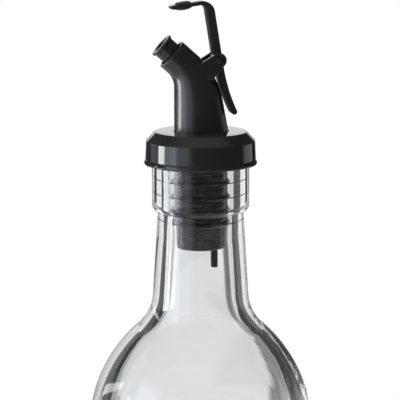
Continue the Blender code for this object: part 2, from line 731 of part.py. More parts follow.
def make_pad(soft):
    over = PAD_DROP + FINGER_THICKNESS + GAP
    under = PAD_DROP - GAP
    outline = [
        (0.0, 0.0),
        (PAD_RADIUS * 0.55, PAD_CROWN),
        (PAD_RADIUS - PAD_EDGE, under - PAD_EDGE_THICKNESS),
        (PAD_RADIUS, under - PAD_EDGE_THICKNESS / 2.0),
        (PAD_RADIUS, under),
        (PAD_STEM_RADIUS, under),
        (PAD_STEM_RADIUS, over),
        (BUTTON_RADIUS, over),
        (BUTTON_RADIUS, over + BUTTON_EDGE),
        (BUTTON_RADIUS * 0.8, over + BUTTON_HEIGHT * 0.75),
        (BUTTON_RADIUS * 0.4, over + BUTTON_HEIGHT * 0.97),
        (0.0, over + BUTTON_HEIGHT),
    ]
    pad = turned("seal_pad", outline, PAD_STEPS, soft)
    pad.matrix_world = pad_frame()
    return pad


def set_origin(item, point):
    """Moves an object's origin without moving its shape."""
    item.data.transform(Matrix.Translation(-point))
    item.location = point


def main():
    clear_scene()
    black = plastic("gloss_black_plastic", (0.012, 0.012, 0.013), 0.16)
    soft = plastic("soft_black_plastic", (0.02, 0.02, 0.022), 0.5)
    make_bottle()
    make_cap(black)
    make_stopper(soft)
    make_air_tube(soft)
    make_tower(black)
    make_nozzle(black)
    hinge_bar("hinge_pin", PIN_RADIUS, PIN_HALF_LENGTH, black)
    lever = make_lever(black)
    make_pad(soft)
    set_origin(lever, above_cap(PIVOT) * MM)


main()
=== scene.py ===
# Oil and vinegar bottle: clear glass, a ribbed stopper and a black pourer with a flip lever.
# Sizes in the dictionaries are in millimetres unless a note says otherwise.
import math

import bmesh
import bpy
from mathutils import Matrix, Vector, noise


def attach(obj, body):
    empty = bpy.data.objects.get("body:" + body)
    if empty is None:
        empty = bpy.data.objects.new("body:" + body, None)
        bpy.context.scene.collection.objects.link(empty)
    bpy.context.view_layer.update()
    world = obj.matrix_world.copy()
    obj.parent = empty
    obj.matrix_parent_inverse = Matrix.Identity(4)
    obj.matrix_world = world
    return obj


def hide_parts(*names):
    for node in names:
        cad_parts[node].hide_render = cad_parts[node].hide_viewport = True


mm = 0.001
capTop = 235.3                  # top face of the pourer's cap; pourer heights count from here
toolReach = 1.0                 # how far a cutting tool stands out of what it cuts

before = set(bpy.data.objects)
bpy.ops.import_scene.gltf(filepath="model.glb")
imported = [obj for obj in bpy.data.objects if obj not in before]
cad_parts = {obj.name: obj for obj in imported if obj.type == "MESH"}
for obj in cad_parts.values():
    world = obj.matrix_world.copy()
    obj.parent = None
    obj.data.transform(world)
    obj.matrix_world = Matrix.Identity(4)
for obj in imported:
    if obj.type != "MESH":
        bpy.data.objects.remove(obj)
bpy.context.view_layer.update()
scene = bpy.context.scene
print("frame loaded:", sorted(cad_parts))


cameraSetup = {
    "distance": 420.0,
    "elevation": 10.8,          # degrees above the horizon
    "azimuth": -9.5,            # degrees round from the front, towards the spout
    "targetHeight": 213.53,
    "sideShift": -0.19,         # the bottle stands a hair right of the middle
    "lens": 120.96,
    "sensor": 36.0,
    "clip": (0.02, 50.0),       # metres
}


def viewAxes(setup):
    a = math.radians(setup["azimuth"])
    e = math.radians(setup["elevation"])
    back = Vector((math.sin(a) * math.cos(e), -math.cos(a) * math.cos(e), math.sin(e)))
    right = Vector((math.cos(a), math.sin(a), 0.0))
    return back, right


def makeCamera(setup):
    back, right = viewAxes(setup)
    data = bpy.data.cameras.new("camera")
    data.lens = setup["lens"]
    data.sensor_width = setup["sensor"]
    data.clip_start, data.clip_end = setup["clip"]
    camera = bpy.data.objects.new("camera", data)
    scene.collection.objects.link(camera)
    target = Vector((0.0, 0.0, setup["targetHeight"])) + right * setup["sideShift"]
    camera.location = (target + back * setup["distance"]) * mm
    camera.rotation_mode = "QUATERNION"
    camera.rotation_quaternion = (-back).to_track_quat("-Z", "Y")
    scene.camera = camera


makeCamera(cameraSetup)
print("camera placed")


def feed(tree, socket, value):
    # an input takes another node's output or a plain value
    if isinstance(value, bpy.types.NodeSocket):
        tree.links.new(value, socket)
    else:
        socket.default_value = value


def addNode(tree, kind, settings=None, **given):
    # settings are the node's own properties; what is given goes to its inputs, by name
    node = tree.nodes.new(kind)
    for key, value in (settings or {}).items():
        setattr(node, key, value)
    for key, value in given.items():
        feed(tree, node.inputs[key.replace("_", " ")], value)
    return node


def newTree(kind, name, inputs, outputs):
    # a node group; each socket is given by its kind, or by the plain number it starts with
    tree = bpy.data.node_groups.new(name, kind + "NodeTree")
    for way, sockets in (("INPUT", inputs), ("OUTPUT", outputs)):
        for label, what in sockets.items():
            kindName = what if isinstance(what, str) else "Float"
            socket = tree.interface.new_socket(name=label, in_out=way,
                                               socket_type="NodeSocket" + kindName)
            if kindName != what:
                socket.default_value = what
    given = tree.nodes.new("NodeGroupInput").outputs
    made = tree.nodes.new("NodeGroupOutput").inputs
    return tree, given, made


def placeGroup(tree, group, place, **given):
    settings = {"node_tree": group}
    return addNode(tree, "ShaderNodeGroup", settings, Place=place, **given).outputs


def math2(tree, operation, first, second=None, clamp=False):
    # a Math node on sockets or numbers
    node = addNode(tree, "ShaderNodeMath", {"operation": operation, "use_clamp": clamp})
    feed(tree, node.inputs[0], first)
    if second is not None:
        feed(tree, node.inputs[1], second)
    return node.outputs[0]


def times(tree, *factors):
    total = factors[0]
    for factor in factors[1:]:
        total = math2(tree, "MULTIPLY", total, factor)
    return total


def inverted(tree, value):
    # one minus a value
    return math2(tree, "SUBTRACT", 1.0, value)


def vectorMath(tree, operation, first, second=None, output="Value"):
    node = addNode(tree, "ShaderNodeVectorMath", {"operation": operation})
    feed(tree, node.inputs[0], first)
    if second is not None:
        feed(tree, node.inputs[1], second)
    return node.outputs[output]


def mixed(tree, factor, first, second):
    # The Mix node has one A and one B for each kind of data; the colour pair is the third.
    node = addNode(tree, "ShaderNodeMix", {"data_type": "RGBA"})
    for place, value in ((0, factor), (6, first), (7, second)):
        feed(tree, node.inputs[place], value)
    return node.outputs[2]


def smoothRange(tree, value, low, high, start=0.0, end=1.0):
    # a soft step between two values
    settings = {"interpolation_type": "SMOOTHSTEP"}
    return addNode(tree, "ShaderNodeMapRange", settings, Value=value, From_Min=low,
                   From_Max=high, To_Min=start, To_Max=end).outputs["Result"]


def rising(tree, value, edge, soft):
    return smoothRange(tree, value, edge - soft, edge + soft)


def falling(tree, value, edge, soft):
    return smoothRange(tree, value, edge - soft, edge + soft, 1.0, 0.0)


def window(tree, value, low, high, soft):
    # one between two values, with soft edges
    return times(tree, rising(tree, value, low, soft), falling(tree, value, high, soft))


degreesPerRadian = 180.0 / math.pi


def azimuthOf(tree, place):
    # degrees round the vertical from the camera's side, positive to its right
    back, right = viewAxes(cameraSetup)
    flat = Vector((back.x, back.y, 0.0)).normalized()
    turn = math2(tree, "ARCTAN2", vectorMath(tree, "DOT_PRODUCT", place, right),
                 vectorMath(tree, "DOT_PRODUCT", place, flat))
    return times(tree, turn, degreesPerRadian)


white = (1.0, 1.0, 1.0)
coolWhite = (0.80, 0.88, 1.0)


def panel(left, right, top, soft, strength, color=white, bottom=-60.0, lean=0.0):
    # A lit panel between two azimuths (from the camera's direction, positive to its right) and
    # two elevations, in degrees, with soft edges. It rises by lean for each degree round.
    return {"azimuth": (left, right), "elevation": (bottom, top), "soft": soft,
            "strength": strength, "color": color, "lean": lean}


studio = {
    "outside": (                    # what the outer surfaces reflect
        panel(-98.0, -80.5, 4.5, 1.5, 13.0),                            # strip box
        panel(-126.0, -98.0, 1.0, 3.0, 0.6, color=(0.75, 0.85, 1.0)),   # its spill
        panel(-132.0, -103.0, 0.8, 0.8, 4.0, bottom=-4.0, lean=0.6),    # low card
        panel(-80.0, -52.0, 30.0, 6.0, 2.6, color=coolWhite),           # near fill
        panel(-60.0, -22.0, 30.0, 10.0, 1.2, color=coolWhite),          # far fill
        panel(101.0, 136.0, 1.0, 4.0, 0.8),                             # band at the right
    ),
    "inside": (                     # what light that bounces within the glass meets
        panel(-98.0, -80.5, 4.5, 1.5, 3.0),                             # strip box
        panel(-115.0, -98.0, 30.0, 3.0, 0.6, color=(0.85, 0.92, 1.0)),  # left of it
        panel(98.0, 122.0, 30.0, 3.0, 0.62),                            # right side
    ),
    "backdrop": (-156.5, 161.0),    # edges of the bright backdrop behind the bottle
    "backdropSoft": 2.0,
    "backdropRise": (-2.0, 7.0),    # elevations between which it brightens
    "backdropFade": (40.0, 60.0),   # elevations between which it ends
    "backdropBelow": 0.12,          # as the outer surfaces show it under the horizon
    "backdropLow": 0.86,
    "backdropHigh": 1.25,
    "front": 0.10,
    "overhead": 0.35,
    "overheadRise": (45.0, 75.0),
    "behindDim": (95.0, 110.0, 1.0, 0.25),      # the room's light sinks behind the bottle
    "flagLeft": 0.03,               # dark flags beside the backdrop
    "flagRight": 0.06,
    "seeThrough": 0.79,             # what clear glass shows of the room
    "seeThroughColor": (0.985, 0.99, 1.0),
    "seeThroughFlags": (((-155.0, -142.5), 0.46), ((147.5, 163.5), 0.23)),
}


def makeDarkFlags(setup):
    # what clear glass shows all round: an even pale room with two narrow dark flags
    tree, given, made = newTree("Shader", "darkFlags", {"Place": "Vector"}, {"Level": "Float"})
    azimuth = azimuthOf(tree, given["Place"])
    level = 1.0
    for edges, part in setup["seeThroughFlags"]:
        shade = times(tree, 1.0 - part, window(tree, azimuth, *edges, setup["backdropSoft"]))
        level = math2(tree, "SUBTRACT", level, shade)
    feed(tree, made["Level"], level)
    return tree


darkFlags = makeDarkFlags(studio)


def lightPath(tree):
    # camera rays, rays that have entered the glass, and rays that have bounced
    path = addNode(tree, "ShaderNodeLightPath").outputs
    entered = math2(tree, "GREATER_THAN", path["Transmission Depth"], 0.5)
    bounced = math2(tree, "GREATER_THAN", path["Glossy Depth"], 0.5)
    return path["Is Camera Ray"], entered, bounced


def makeWorld(setup):
    world = bpy.data.worlds.new("studio")
    scene.world = world
    world.use_nodes = True
    tree = world.node_tree
    tree.nodes.clear()
    direction = addNode(tree, "ShaderNodeTexCoord").outputs["Generated"]
    azimuth = azimuthOf(tree, direction)
    height = vectorMath(tree, "DOT_PRODUCT", direction, (0.0, 0.0, 1.0))
    elevation = times(tree, math2(tree, "ARCSINE", height), degreesPerRadian)
    leftward = math2(tree, "LESS_THAN", azimuth, 0.0)
    rightward = math2(tree, "GREATER_THAN", azimuth, 0.0)

    def tinted(amount, color):
        node = addNode(tree, "ShaderNodeVectorMath", {"operation": "SCALE"}, Vector=color,
                       Scale=amount)
        return node.outputs["Vector"]

    def withPanels(light, panels):
        for one in panels:
            rise = math2(tree, "SUBTRACT", azimuth, one["azimuth"][0])
            level = math2(tree, "SUBTRACT", elevation, times(tree, rise, one["lean"]))
            amount = times(tree, window(tree, azimuth, *one["azimuth"], one["soft"]),
                           window(tree, level, *one["elevation"], one["soft"]),
                           one["strength"])
            light = vectorMath(tree, "ADD", light, tinted(amount, one["color"]), "Vector")
        return light

    leftEdge, rightEdge = setup["backdrop"]
    soft = setup["backdropSoft"]
    wall = math2(tree, "ADD", times(tree, leftward, falling(tree, azimuth, leftEdge, soft)),
                 times(tree, rightward, rising(tree, azimuth, rightEdge, soft)))
    fade = smoothRange(tree, elevation, *setup["backdropFade"], 1.0, 0.0)

    def backdrop(lowest):
        level = smoothRange(tree, elevation, *setup["backdropRise"], lowest,
                            setup["backdropHigh"])
        return times(tree, wall, level, fade)

    above = smoothRange(tree, elevation, *setup["overheadRise"], setup["front"],
                        setup["overhead"])
    apart = math2(tree, "ABSOLUTE", azimuth)
    ambient = times(tree, above, smoothRange(tree, apart, *setup["behindDim"]))
    around = math2(tree, "ADD", backdrop(setup["backdropBelow"]), ambient)
    outside = withPanels(tinted(around, white), setup["outside"])
    flags = math2(tree, "ADD", times(tree, leftward, setup["flagLeft"]),
                  times(tree, rightward, setup["flagRight"]))
    within = math2(tree, "ADD", backdrop(setup["backdropLow"]),
                   times(tree, inverted(tree, wall), flags))
    inside = withPanels(tinted(within, white), setup["inside"])
    clear = times(tree, placeGroup(tree, darkFlags, direction)["Level"], setup["seeThrough"])
    through = tinted(clear, setup["seeThroughColor"])

    camera, entered, bounced = lightPath(tree)
    light = mixed(tree, entered, outside, mixed(tree, bounced, through, inside))
    seen = mixed(tree, camera, light, (*white, 1.0))
    background = addNode(tree, "ShaderNodeBackground", Color=seen)
    addNode(tree, "ShaderNodeOutputWorld", Surface=background.outputs["Background"])


softLight = {"size": 0.9, "height": 1.2, "energy": 9.0}      # metres and watts


def makeSoftLight(setup):
    data = bpy.data.lights.new("softTop", "AREA")
    data.shape = "DISK"
    data.size = setup["size"]
    data.energy = setup["energy"]
    lamp = bpy.data.objects.new("softTop", data)
    lamp.location = (0.0, 0.0, setup["height"])
    lamp.visible_glossy = False
    lamp.visible_transmission = False
    scene.collection.objects.link(lamp)


def newMaterial(name):
    material = bpy.data.materials.new(name)
    material.use_nodes = True
    tree = material.node_tree
    place = addNode(tree, "ShaderNodeTexCoord").outputs["Object"]
    return material, tree, tree.nodes["Principled BSDF"].inputs, place


floorSetup = {                       # metres
    "radius": 0.48, "steps": 128, "drop": 0.0002, "blendFrom": 0.16, "blendTo": 0.44,
    "color": (0.86, 0.86, 0.87), "roughness": 0.6,
    "glassGlow": 0.81,               # how brightly the floor glows through glass: painted light
    "flagShadeFrom": 0.05, "flagShadeTo": 0.46,                      # painted shade of the dark flags on the floor's glow reaches this far in
    "cardFrom": 0.05, "cardShadeTo": 0.09, "cardShadeEnd": 0.29,     # painted shade of a dark card, on the floor's glow to the left
    "cardShadeSoft": 0.01, "cardShadeDepth": 0.94,
}


def makeFloor(setup):
    work = bmesh.new()
    bmesh.ops.create_circle(work, cap_ends=True, radius=setup["radius"],
                            segments=setup["steps"])
    mesh = bpy.data.meshes.new("floor")
    work.to_mesh(mesh)
    work.free()
    floor = bpy.data.objects.new("floor", mesh)
    floor.location.z = -setup["drop"]
    scene.collection.objects.link(floor)
    material, tree, surface, place = newMaterial("paleFloor")
    surface["Base Color"].default_value = (*setup["color"], 1.0)
    surface["Roughness"].default_value = setup["roughness"]
    away = vectorMath(tree, "LENGTH", place)
    # Painted light: the floor glows where it is seen through the glass, standing in for the light
    # that reaches it through the glass, so glass never shows it dark.
    _, entered, bounced = lightPath(tree)
    blend = smoothRange(tree, away, setup["blendFrom"], setup["blendTo"])
    blend = math2(tree, "MAXIMUM", blend, entered)
    dimmed = times(tree, entered, 1.0 - setup["glassGlow"])
    # Painted shade: seen through glass, the floor's glow darkens towards the dark flags' directions,
    # more so further from the bottle.
    far = smoothRange(tree, away, setup["flagShadeFrom"], setup["flagShadeTo"])
    level = placeGroup(tree, darkFlags, place)["Level"]
    flags = times(tree, entered, far, inverted(tree, level))
    # Painted shade: a dark patch on the floor's glow to the left, seen only by rays that bounced
    # inside the glass, standing in for a dark card.
    leftward = vectorMath(tree, "DOT_PRODUCT", place, -viewAxes(cameraSetup)[1])
    card = times(tree, smoothRange(tree, leftward, setup["cardFrom"], setup["cardShadeTo"]),
                 falling(tree, away, setup["cardShadeEnd"], setup["cardShadeSoft"]), entered, bounced,
                 setup["cardShadeDepth"])
    light = times(tree, inverted(tree, dimmed), inverted(tree, flags), inverted(tree, card))
    glow = addNode(tree, "ShaderNodeEmission", Color=light)
    mix = addNode(tree, "ShaderNodeMixShader", Fac=blend)
    tree.links.new(tree.nodes["Principled BSDF"].outputs["BSDF"], mix.inputs[1])
    tree.links.new(glow.outputs["Emission"], mix.inputs[2])
    tree.links.new(mix.outputs["Shader"], tree.nodes["Material Output"].inputs["Surface"])
    mesh.materials.append(material)


makeWorld(studio)
makeSoftLight(softLight)
makeFloor(floorSetup)
scene.view_settings.view_transform = "Standard"
scene.view_settings.look = "None"
lightBounces = 64               # light runs a long way inside the wall of the glass
scene.cycles.max_bounces = lightBounces
scene.cycles.transmission_bounces = lightBounces
scene.cycles.glossy_bounces = lightBounces
print("studio lit")


def makeMouldSkin():
    # the faint waviness and uneven sheen of moulded plastic
    tree, given, made = newTree(
        "Shader", "mouldSkin",
        {"Place": "Vector", "Wave size": 260.0, "Grain size": 5200.0, "Sheen low": 0.12,
         "Sheen high": 0.20},
        {"Height": "Float", "Roughness": "Float"})
    wave = addNode(tree, "ShaderNodeTexNoise", Vector=given["Place"],
                   Scale=given["Wave size"], Detail=2.0, Roughness=0.45).outputs["Fac"]
    grain = addNode(tree, "ShaderNodeTexNoise", Vector=given["Place"],
                    Scale=given["Grain size"], Detail=3.0, Roughness=0.6).outputs["Fac"]
    grainHeight = 0.12
    feed(tree, made["Height"], math2(tree, "ADD", wave, times(tree, grain, grainHeight)))
    wavePart = 0.7
    patch = math2(tree, "ADD", times(tree, wave, wavePart),
                  times(tree, grain, 1.0 - wavePart))
    spread = addNode(tree, "ShaderNodeMapRange", Value=patch, From_Min=0.3, From_Max=0.7,
                     To_Min=given["Sheen low"], To_Max=given["Sheen high"])
    feed(tree, made["Roughness"], spread.outputs["Result"])
    return tree


def makeHairScratches():
    # fine handling scratches in two directions
    tree, given, made = newTree("Shader", "hairScratches",
                                {"Place": "Vector", "Density": 420.0, "Amount": 0.5},
                                {"Mask": "Float"})
    total = 0.0
    width = 0.02
    for turn, stretch, patchScale in ((0.5, 14.0, 240.0), (-0.9, 18.0, 257.14)):
        along = addNode(tree, "ShaderNodeMapping", Vector=given["Place"],
                        Rotation=(turn, 0.35 * turn, 0.8 * turn),
                        Scale=(1.0, 1.0, 1.0 / stretch))
        lines = addNode(tree, "ShaderNodeTexVoronoi", {"feature": "DISTANCE_TO_EDGE"},
                        Vector=along.outputs["Vector"], Scale=given["Density"])
        thin = smoothRange(tree, lines.outputs["Distance"], 0.0, width, 1.0, 0.0)
        patches = addNode(tree, "ShaderNodeTexNoise", Vector=given["Place"],
                          Scale=patchScale, Detail=1.0)
        part = smoothRange(tree, patches.outputs["Fac"], 0.54, 0.68)
        total = math2(tree, "MAXIMUM", total, times(tree, thin, part))
    feed(tree, made["Mask"], times(tree, total, given["Amount"]))
    return tree


def makeFineDust():
    # scattered pale specks
    tree, given, made = newTree("Shader", "fineDust",
                                {"Place": "Vector", "Speck density": 900.0, "Amount": 0.3},
                                {"Mask": "Float"})
    specks = addNode(tree, "ShaderNodeTexVoronoi", {"feature": "F1"}, Vector=given["Place"],
                     Scale=given["Speck density"])
    dot = smoothRange(tree, specks.outputs["Distance"], 0.04, 0.12, 1.0, 0.0)
    where = addNode(tree, "ShaderNodeTexNoise", Vector=given["Place"], Scale=140.0, Detail=3.0)
    part = smoothRange(tree, where.outputs["Fac"], 0.5, 0.7)
    feed(tree, made["Mask"], times(tree, dot, part, given["Amount"]))
    return tree


mouldSkin = makeMouldSkin()
hairScratches = makeHairScratches()
fineDust = makeFineDust()


# Blacks of the pourer. Roughness runs between the two sheen values.
plastics = {
    "glossBlack": {"color": (0.0185, 0.0182, 0.0172), "sheen": (0.045, 0.085), "wave": 0.035,
                   "dust": 0.16, "scratch": 0.30},
    "satinBlack": {"color": (0.0215, 0.0190, 0.0168), "sheen": (0.20, 0.28), "wave": 0.05,
                   "dust": 0.14, "scratch": 0.25},
    "softBlack": {"color": (0.020, 0.020, 0.022), "sheen": (0.34, 0.46), "wave": 0.08,
                  "dust": 0.10, "scratch": 0.12},
}
plasticWear = {"ior": 1.5, "dustColor": (0.16, 0.155, 0.15), "dustSheen": 0.5,
               "scratchSheen": 0.18, "scratchDepth": 0.25, "bump": 0.0004}


def moulded(name, setup):
    # the wavy, scratched surface that all the plastics share
    material, tree, surface, place = newMaterial(name)
    low, high = setup["sheen"]
    skin = placeGroup(tree, mouldSkin, place, Sheen_low=low, Sheen_high=high)
    scratches = placeGroup(tree, hairScratches, place, Amount=setup["scratch"])["Mask"]
    height = math2(tree, "SUBTRACT", skin["Height"],
                   times(tree, scratches, plasticWear["scratchDepth"]))
    bump = addNode(tree, "ShaderNodeBump", Strength=setup["wave"],
                   Distance=plasticWear["bump"], Height=height)
    surface["Metallic"].default_value = 0.0
    surface["IOR"].default_value = plasticWear["ior"]
    feed(tree, surface["Normal"], bump.outputs["Normal"])
    return material, tree, surface, place, skin["Roughness"], scratches


def makePlastic(name, setup):
    material, tree, surface, place, rough, scratches = moulded(name, setup)
    dust = placeGroup(tree, fineDust, place, Amount=setup["dust"])["Mask"]
    feed(tree, surface["Base Color"], mixed(tree, dust, (*setup["color"], 1.0),
                                            (*plasticWear["dustColor"], 1.0)))
    scratched = times(tree, scratches, plasticWear["scratchSheen"])
    dusty = times(tree, dust, plasticWear["dustSheen"])
    rough = math2(tree, "ADD", math2(tree, "ADD", rough, scratched), dusty, clamp=True)
    feed(tree, surface["Roughness"], rough)
    return material


# the pale colour is a painted reflection, laid into the stopper's colour in level streaks
stopperFinish = {"dark": (0.012, 0.0115, 0.012), "pale": (0.105, 0.095, 0.09),
                 "sheen": (0.16, 0.34), "streakHeight": 1500.0, "streakLength": 130.0,
                 "paintedStreakRange": (0.42, 0.78), "sheenRange": (0.3, 0.7), "scratch": 0.12, "wave": 0.08}


def makeStopperFinish(setup):
    # soft dark plastic with pale level streaks painted into its colour as painted reflections; its
    # roughness follows the same streaks
    material, tree, surface, place = moulded("stopperBlack", setup)[:4]
    length = setup["streakLength"]
    stretch = addNode(tree, "ShaderNodeMapping", Vector=place,
                      Scale=(length, length, setup["streakHeight"]))
    streaks = addNode(tree, "ShaderNodeTexNoise", Vector=stretch.outputs["Vector"], Scale=1.0,
                      Detail=4.0, Roughness=0.6).outputs["Fac"]
    # painted reflection: the pale colour along the streaks stands in for reflections on the stopper
    paintedStreak = smoothRange(tree, streaks, *setup["paintedStreakRange"])
    feed(tree, surface["Base Color"], mixed(tree, paintedStreak, (*setup["dark"], 1.0),
                                            (*setup["pale"], 1.0)))
    feed(tree, surface["Roughness"], smoothRange(tree, streaks, *setup["sheenRange"],
                                                 *setup["sheen"]))
    return material


clearGlassSetup = {"color": (0.985, 0.995, 0.992), "ior": 1.52, "wave": 0.03,
                   "stretch": 0.35, "rippleScale": 90.0, "rippleDepth": 0.002}


def makeGlass(setup):
    material, tree, surface, place = newMaterial("clearGlass")
    surface["Base Color"].default_value = (*setup["color"], 1.0)
    surface["Metallic"].default_value = 0.0
    surface["Roughness"].default_value = 0.0
    surface["IOR"].default_value = setup["ior"]
    surface["Transmission Weight"].default_value = 1.0
    stretch = addNode(tree, "ShaderNodeMapping", Vector=place,
                      Scale=(1.0, 1.0, setup["stretch"]))
    ripple = addNode(tree, "ShaderNodeTexNoise", Vector=stretch.outputs["Vector"],
                     Scale=setup["rippleScale"], Detail=2.0, Roughness=0.4)
    bump = addNode(tree, "ShaderNodeBump", Strength=setup["wave"],
                   Distance=setup["rippleDepth"], Height=ripple.outputs["Fac"])
    feed(tree, surface["Normal"], bump.outputs["Normal"])
    return material


glossBlack = makePlastic("glossBlack", plastics["glossBlack"])
satinBlack = makePlastic("satinBlack", plastics["satinBlack"])
softBlack = makePlastic("softBlack", plastics["softBlack"])
stopperBlack = makeStopperFinish(stopperFinish)
clearGlass = makeGlass(clearGlassSetup)
print("materials made")


def between(first, last, share):
    return first + (last - first) * share


def evenly(first, last, steps):
    return [between(first, last, i / steps) for i in range(steps + 1)]


def eased(share):
    return share * share * (3.0 - 2.0 * share)


def arc(middle, radius, start, end, steps):
    points = []
    for degrees in evenly(start, end, steps):
        angle = math.radians(degrees)
        points.append((middle[0] + radius * math.cos(angle),
                       middle[1] + radius * math.sin(angle)))
    return points


def circle(middle, radius, steps, start=0.0):
    return arc(middle, radius, start, start + 360.0, steps)[:-1]


def rounded(before, corner, after, radius, steps):
    # the arc that rounds the corner between two straight lines
    corner = Vector(corner)
    first = (Vector(before) - corner).normalized()
    second = (Vector(after) - corner).normalized()
    half = math.acos(max(-1.0, min(1.0, first.dot(second)))) / 2.0
    middle = corner + (first + second).normalized() * (radius / math.sin(half))
    start = corner + first * (radius / math.tan(half)) - middle
    end = corner + second * (radius / math.tan(half)) - middle
    startAngle = math.degrees(math.atan2(start.y, start.x))
    endAngle = math.degrees(math.atan2(end.y, end.x))
    turn = (endAngle - startAngle + 180.0) % 360.0 - 180.0
    return arc(middle, radius, startAngle, startAngle + turn, steps)


cornerSteps = 5


def softened(corners, closed=False):
    # corners are (x, y, rounding); a rounding of zero keeps the corner sharp
    points = []
    count = len(corners)
    for i, (x, y, radius) in enumerate(corners):
        inside = closed or 0 < i < count - 1
        if not radius or not inside:
            points.append((x, y))
            continue
        before = corners[i - 1][:2]
        after = corners[(i + 1) % count][:2]
        points += rounded(before, (x, y), after, radius, cornerSteps)
    return points


def crossing(first, firstWay, second, secondWay):
    # where two lines meet
    apart = second - first
    share = (apart.x * secondWay.y - apart.y * secondWay.x) / (
        firstWay.x * secondWay.y - firstWay.y * secondWay.x)
    return first + firstWay * share


def alongLine(points, share):
    lengths = [(Vector(b) - Vector(a)).length for a, b in zip(points, points[1:])]
    left = share * sum(lengths)
    for start, end, length in zip(points, points[1:], lengths):
        if left <= length:
            return Vector(start).lerp(Vector(end), left / length)
        left -= length
    return Vector(points[-1])


def sweptRound(tree, given, section):
    # carries a section round an upright circle
    ring = addNode(tree, "GeometryNodeCurvePrimitiveCircle", Resolution=given["Steps"],
                   Radius=given["Core radius"])
    upright = addNode(tree, "GeometryNodeSetCurveNormal", {"mode": "Z_UP"},
                      Curve=ring.outputs["Curve"])
    return addNode(tree, "GeometryNodeCurveToMesh", Curve=upright.outputs["Curve"],
                   Profile_Curve=section).outputs["Mesh"]


def finished(tree, given, shape, socket):
    # both trees end in real geometry with its material
    real = addNode(tree, "GeometryNodeRealizeInstances", Geometry=shape)
    finish = addNode(tree, "GeometryNodeSetMaterial", Geometry=real.outputs["Geometry"],
                     Material=given["Finish"])
    feed(tree, socket, finish.outputs["Geometry"])


def makeTurningTree():
    # turns an outline (x outward, y upward) about the vertical
    tree, given, made = newTree(
        "Geometry", "turnedPiece",
        {"Outline": "Geometry", "Steps": "Int", "Core radius": "Float",
         "Weld distance": "Float", "Finish": "Material"},
        {"Piece": "Geometry"})
    line = addNode(tree, "GeometryNodeMeshToCurve", Mesh=given["Outline"])
    weld = addNode(tree, "GeometryNodeMergeByDistance", Distance=given["Weld distance"],
                   Geometry=sweptRound(tree, given, line.outputs["Curve"]))
    finished(tree, given, weld.outputs["Geometry"], made["Piece"])
    return tree


ribSides = 12


def makeRibTree():
    # one turned rib, repeated at each point of the line that it is given
    tree, given, made = newTree(
        "Geometry", "stopperRibs",
        {"Heights": "Geometry", "Steps": "Int", "Core radius": "Float", "Rib reach": "Float",
         "Rib half height": "Float", "Finish": "Material"},
        {"Ribs": "Geometry"})
    section = addNode(tree, "GeometryNodeCurvePrimitiveCircle", Resolution=ribSides,
                      Radius=1.0)
    size = addNode(tree, "ShaderNodeCombineXYZ", X=given["Rib reach"],
                   Y=given["Rib half height"])
    shape = addNode(tree, "GeometryNodeTransform", Geometry=section.outputs["Curve"],
                    Scale=size.outputs["Vector"])
    copies = addNode(tree, "GeometryNodeInstanceOnPoints", Points=given["Heights"],
                     Instance=sweptRound(tree, given, shape.outputs["Geometry"]))
    finished(tree, given, copies.outputs["Instances"], made["Ribs"])
    return tree


turningTree = makeTurningTree()
ribTree = makeRibTree()
coreRadius = 0.2                # outlines are measured from a thin ring round the axis
weldDistance = 1e-6             # metres


def baked(item, tree, values):
    # runs a tree on an object and returns the resulting plain mesh
    modifier = item.modifiers.new("shape", "NODES")
    modifier.node_group = tree
    for socket in tree.interface.items_tree:
        if socket.in_out == "INPUT" and socket.name in values:
            modifier[socket.identifier] = values[socket.name]
    graph = bpy.context.evaluated_depsgraph_get()
    mesh = bpy.data.meshes.new_from_object(item.evaluated_get(graph))
    old = item.data
    bpy.data.objects.remove(item)
    bpy.data.meshes.remove(old)
    return mesh


def tidyMesh(mesh, sharp):
    # merged, facing outward, smooth up to the sharp angle
    work = bmesh.new()
    work.from_mesh(mesh)
    bmesh.ops.remove_doubles(work, verts=work.verts, dist=2.0 * weldDistance)
    bmesh.ops.recalc_face_normals(work, faces=work.faces)
    work.to_mesh(mesh)
    work.free()
    mesh.shade_smooth()
    mesh.set_sharp_from_angle(angle=math.radians(sharp))


def newObject(name, mesh):
    item = bpy.data.objects.new(name, mesh)
    scene.collection.objects.link(item)
    return item


def madeOf(work, name, material, sharp):
    # turns finished mesh work into an object
    mesh = bpy.data.meshes.new(name)
    work.to_mesh(mesh)
    work.free()
    mesh.materials.append(material)
    tidyMesh(mesh, sharp)
    return newObject(name, mesh)


def turned(name, outline, steps, material, sharp=32.0, placeBy=None):
    mesh = bpy.data.meshes.new(name + "Outline")
    points = [((x - coreRadius) * mm, -z * mm, 0.0) for x, z in outline]
    edges = [(i, i + 1) for i in range(len(points) - 1)]
    if outline[0][0] > 0.0:
        edges.append((len(points) - 1, 0))
    mesh.from_pydata(points, edges, [])
    item = newObject(name + "Outline", mesh)
    made = baked(item, turningTree, {"Steps": steps, "Core radius": coreRadius * mm,
                                     "Weld distance": weldDistance, "Finish": material})
    made.name = name
    if placeBy is not None:
        made.transform(placeBy)
    tidyMesh(made, sharp)
    return newObject(name, made)


def turnedShell(name, outline, steps, material):
    # a round piece whose outline starts off the axis and touches it on the way round
    work = bmesh.new()
    verts = [work.verts.new((x * mm, 0.0, z * mm)) for x, z in outline]
    edges = []
    for first, second in zip(verts, verts[1:] + verts[:1]):
        if first.co.x > 0.0 or second.co.x > 0.0:
            edges.append(work.edges.new((first, second)))
    bmesh.ops.spin(work, geom=verts + edges, cent=(0, 0, 0), axis=(0, 0, 1), dvec=(0, 0, 0),
                   angle=2.0 * math.pi, steps=steps, use_merge=True)
    return madeOf(work, name, material, 40.0)


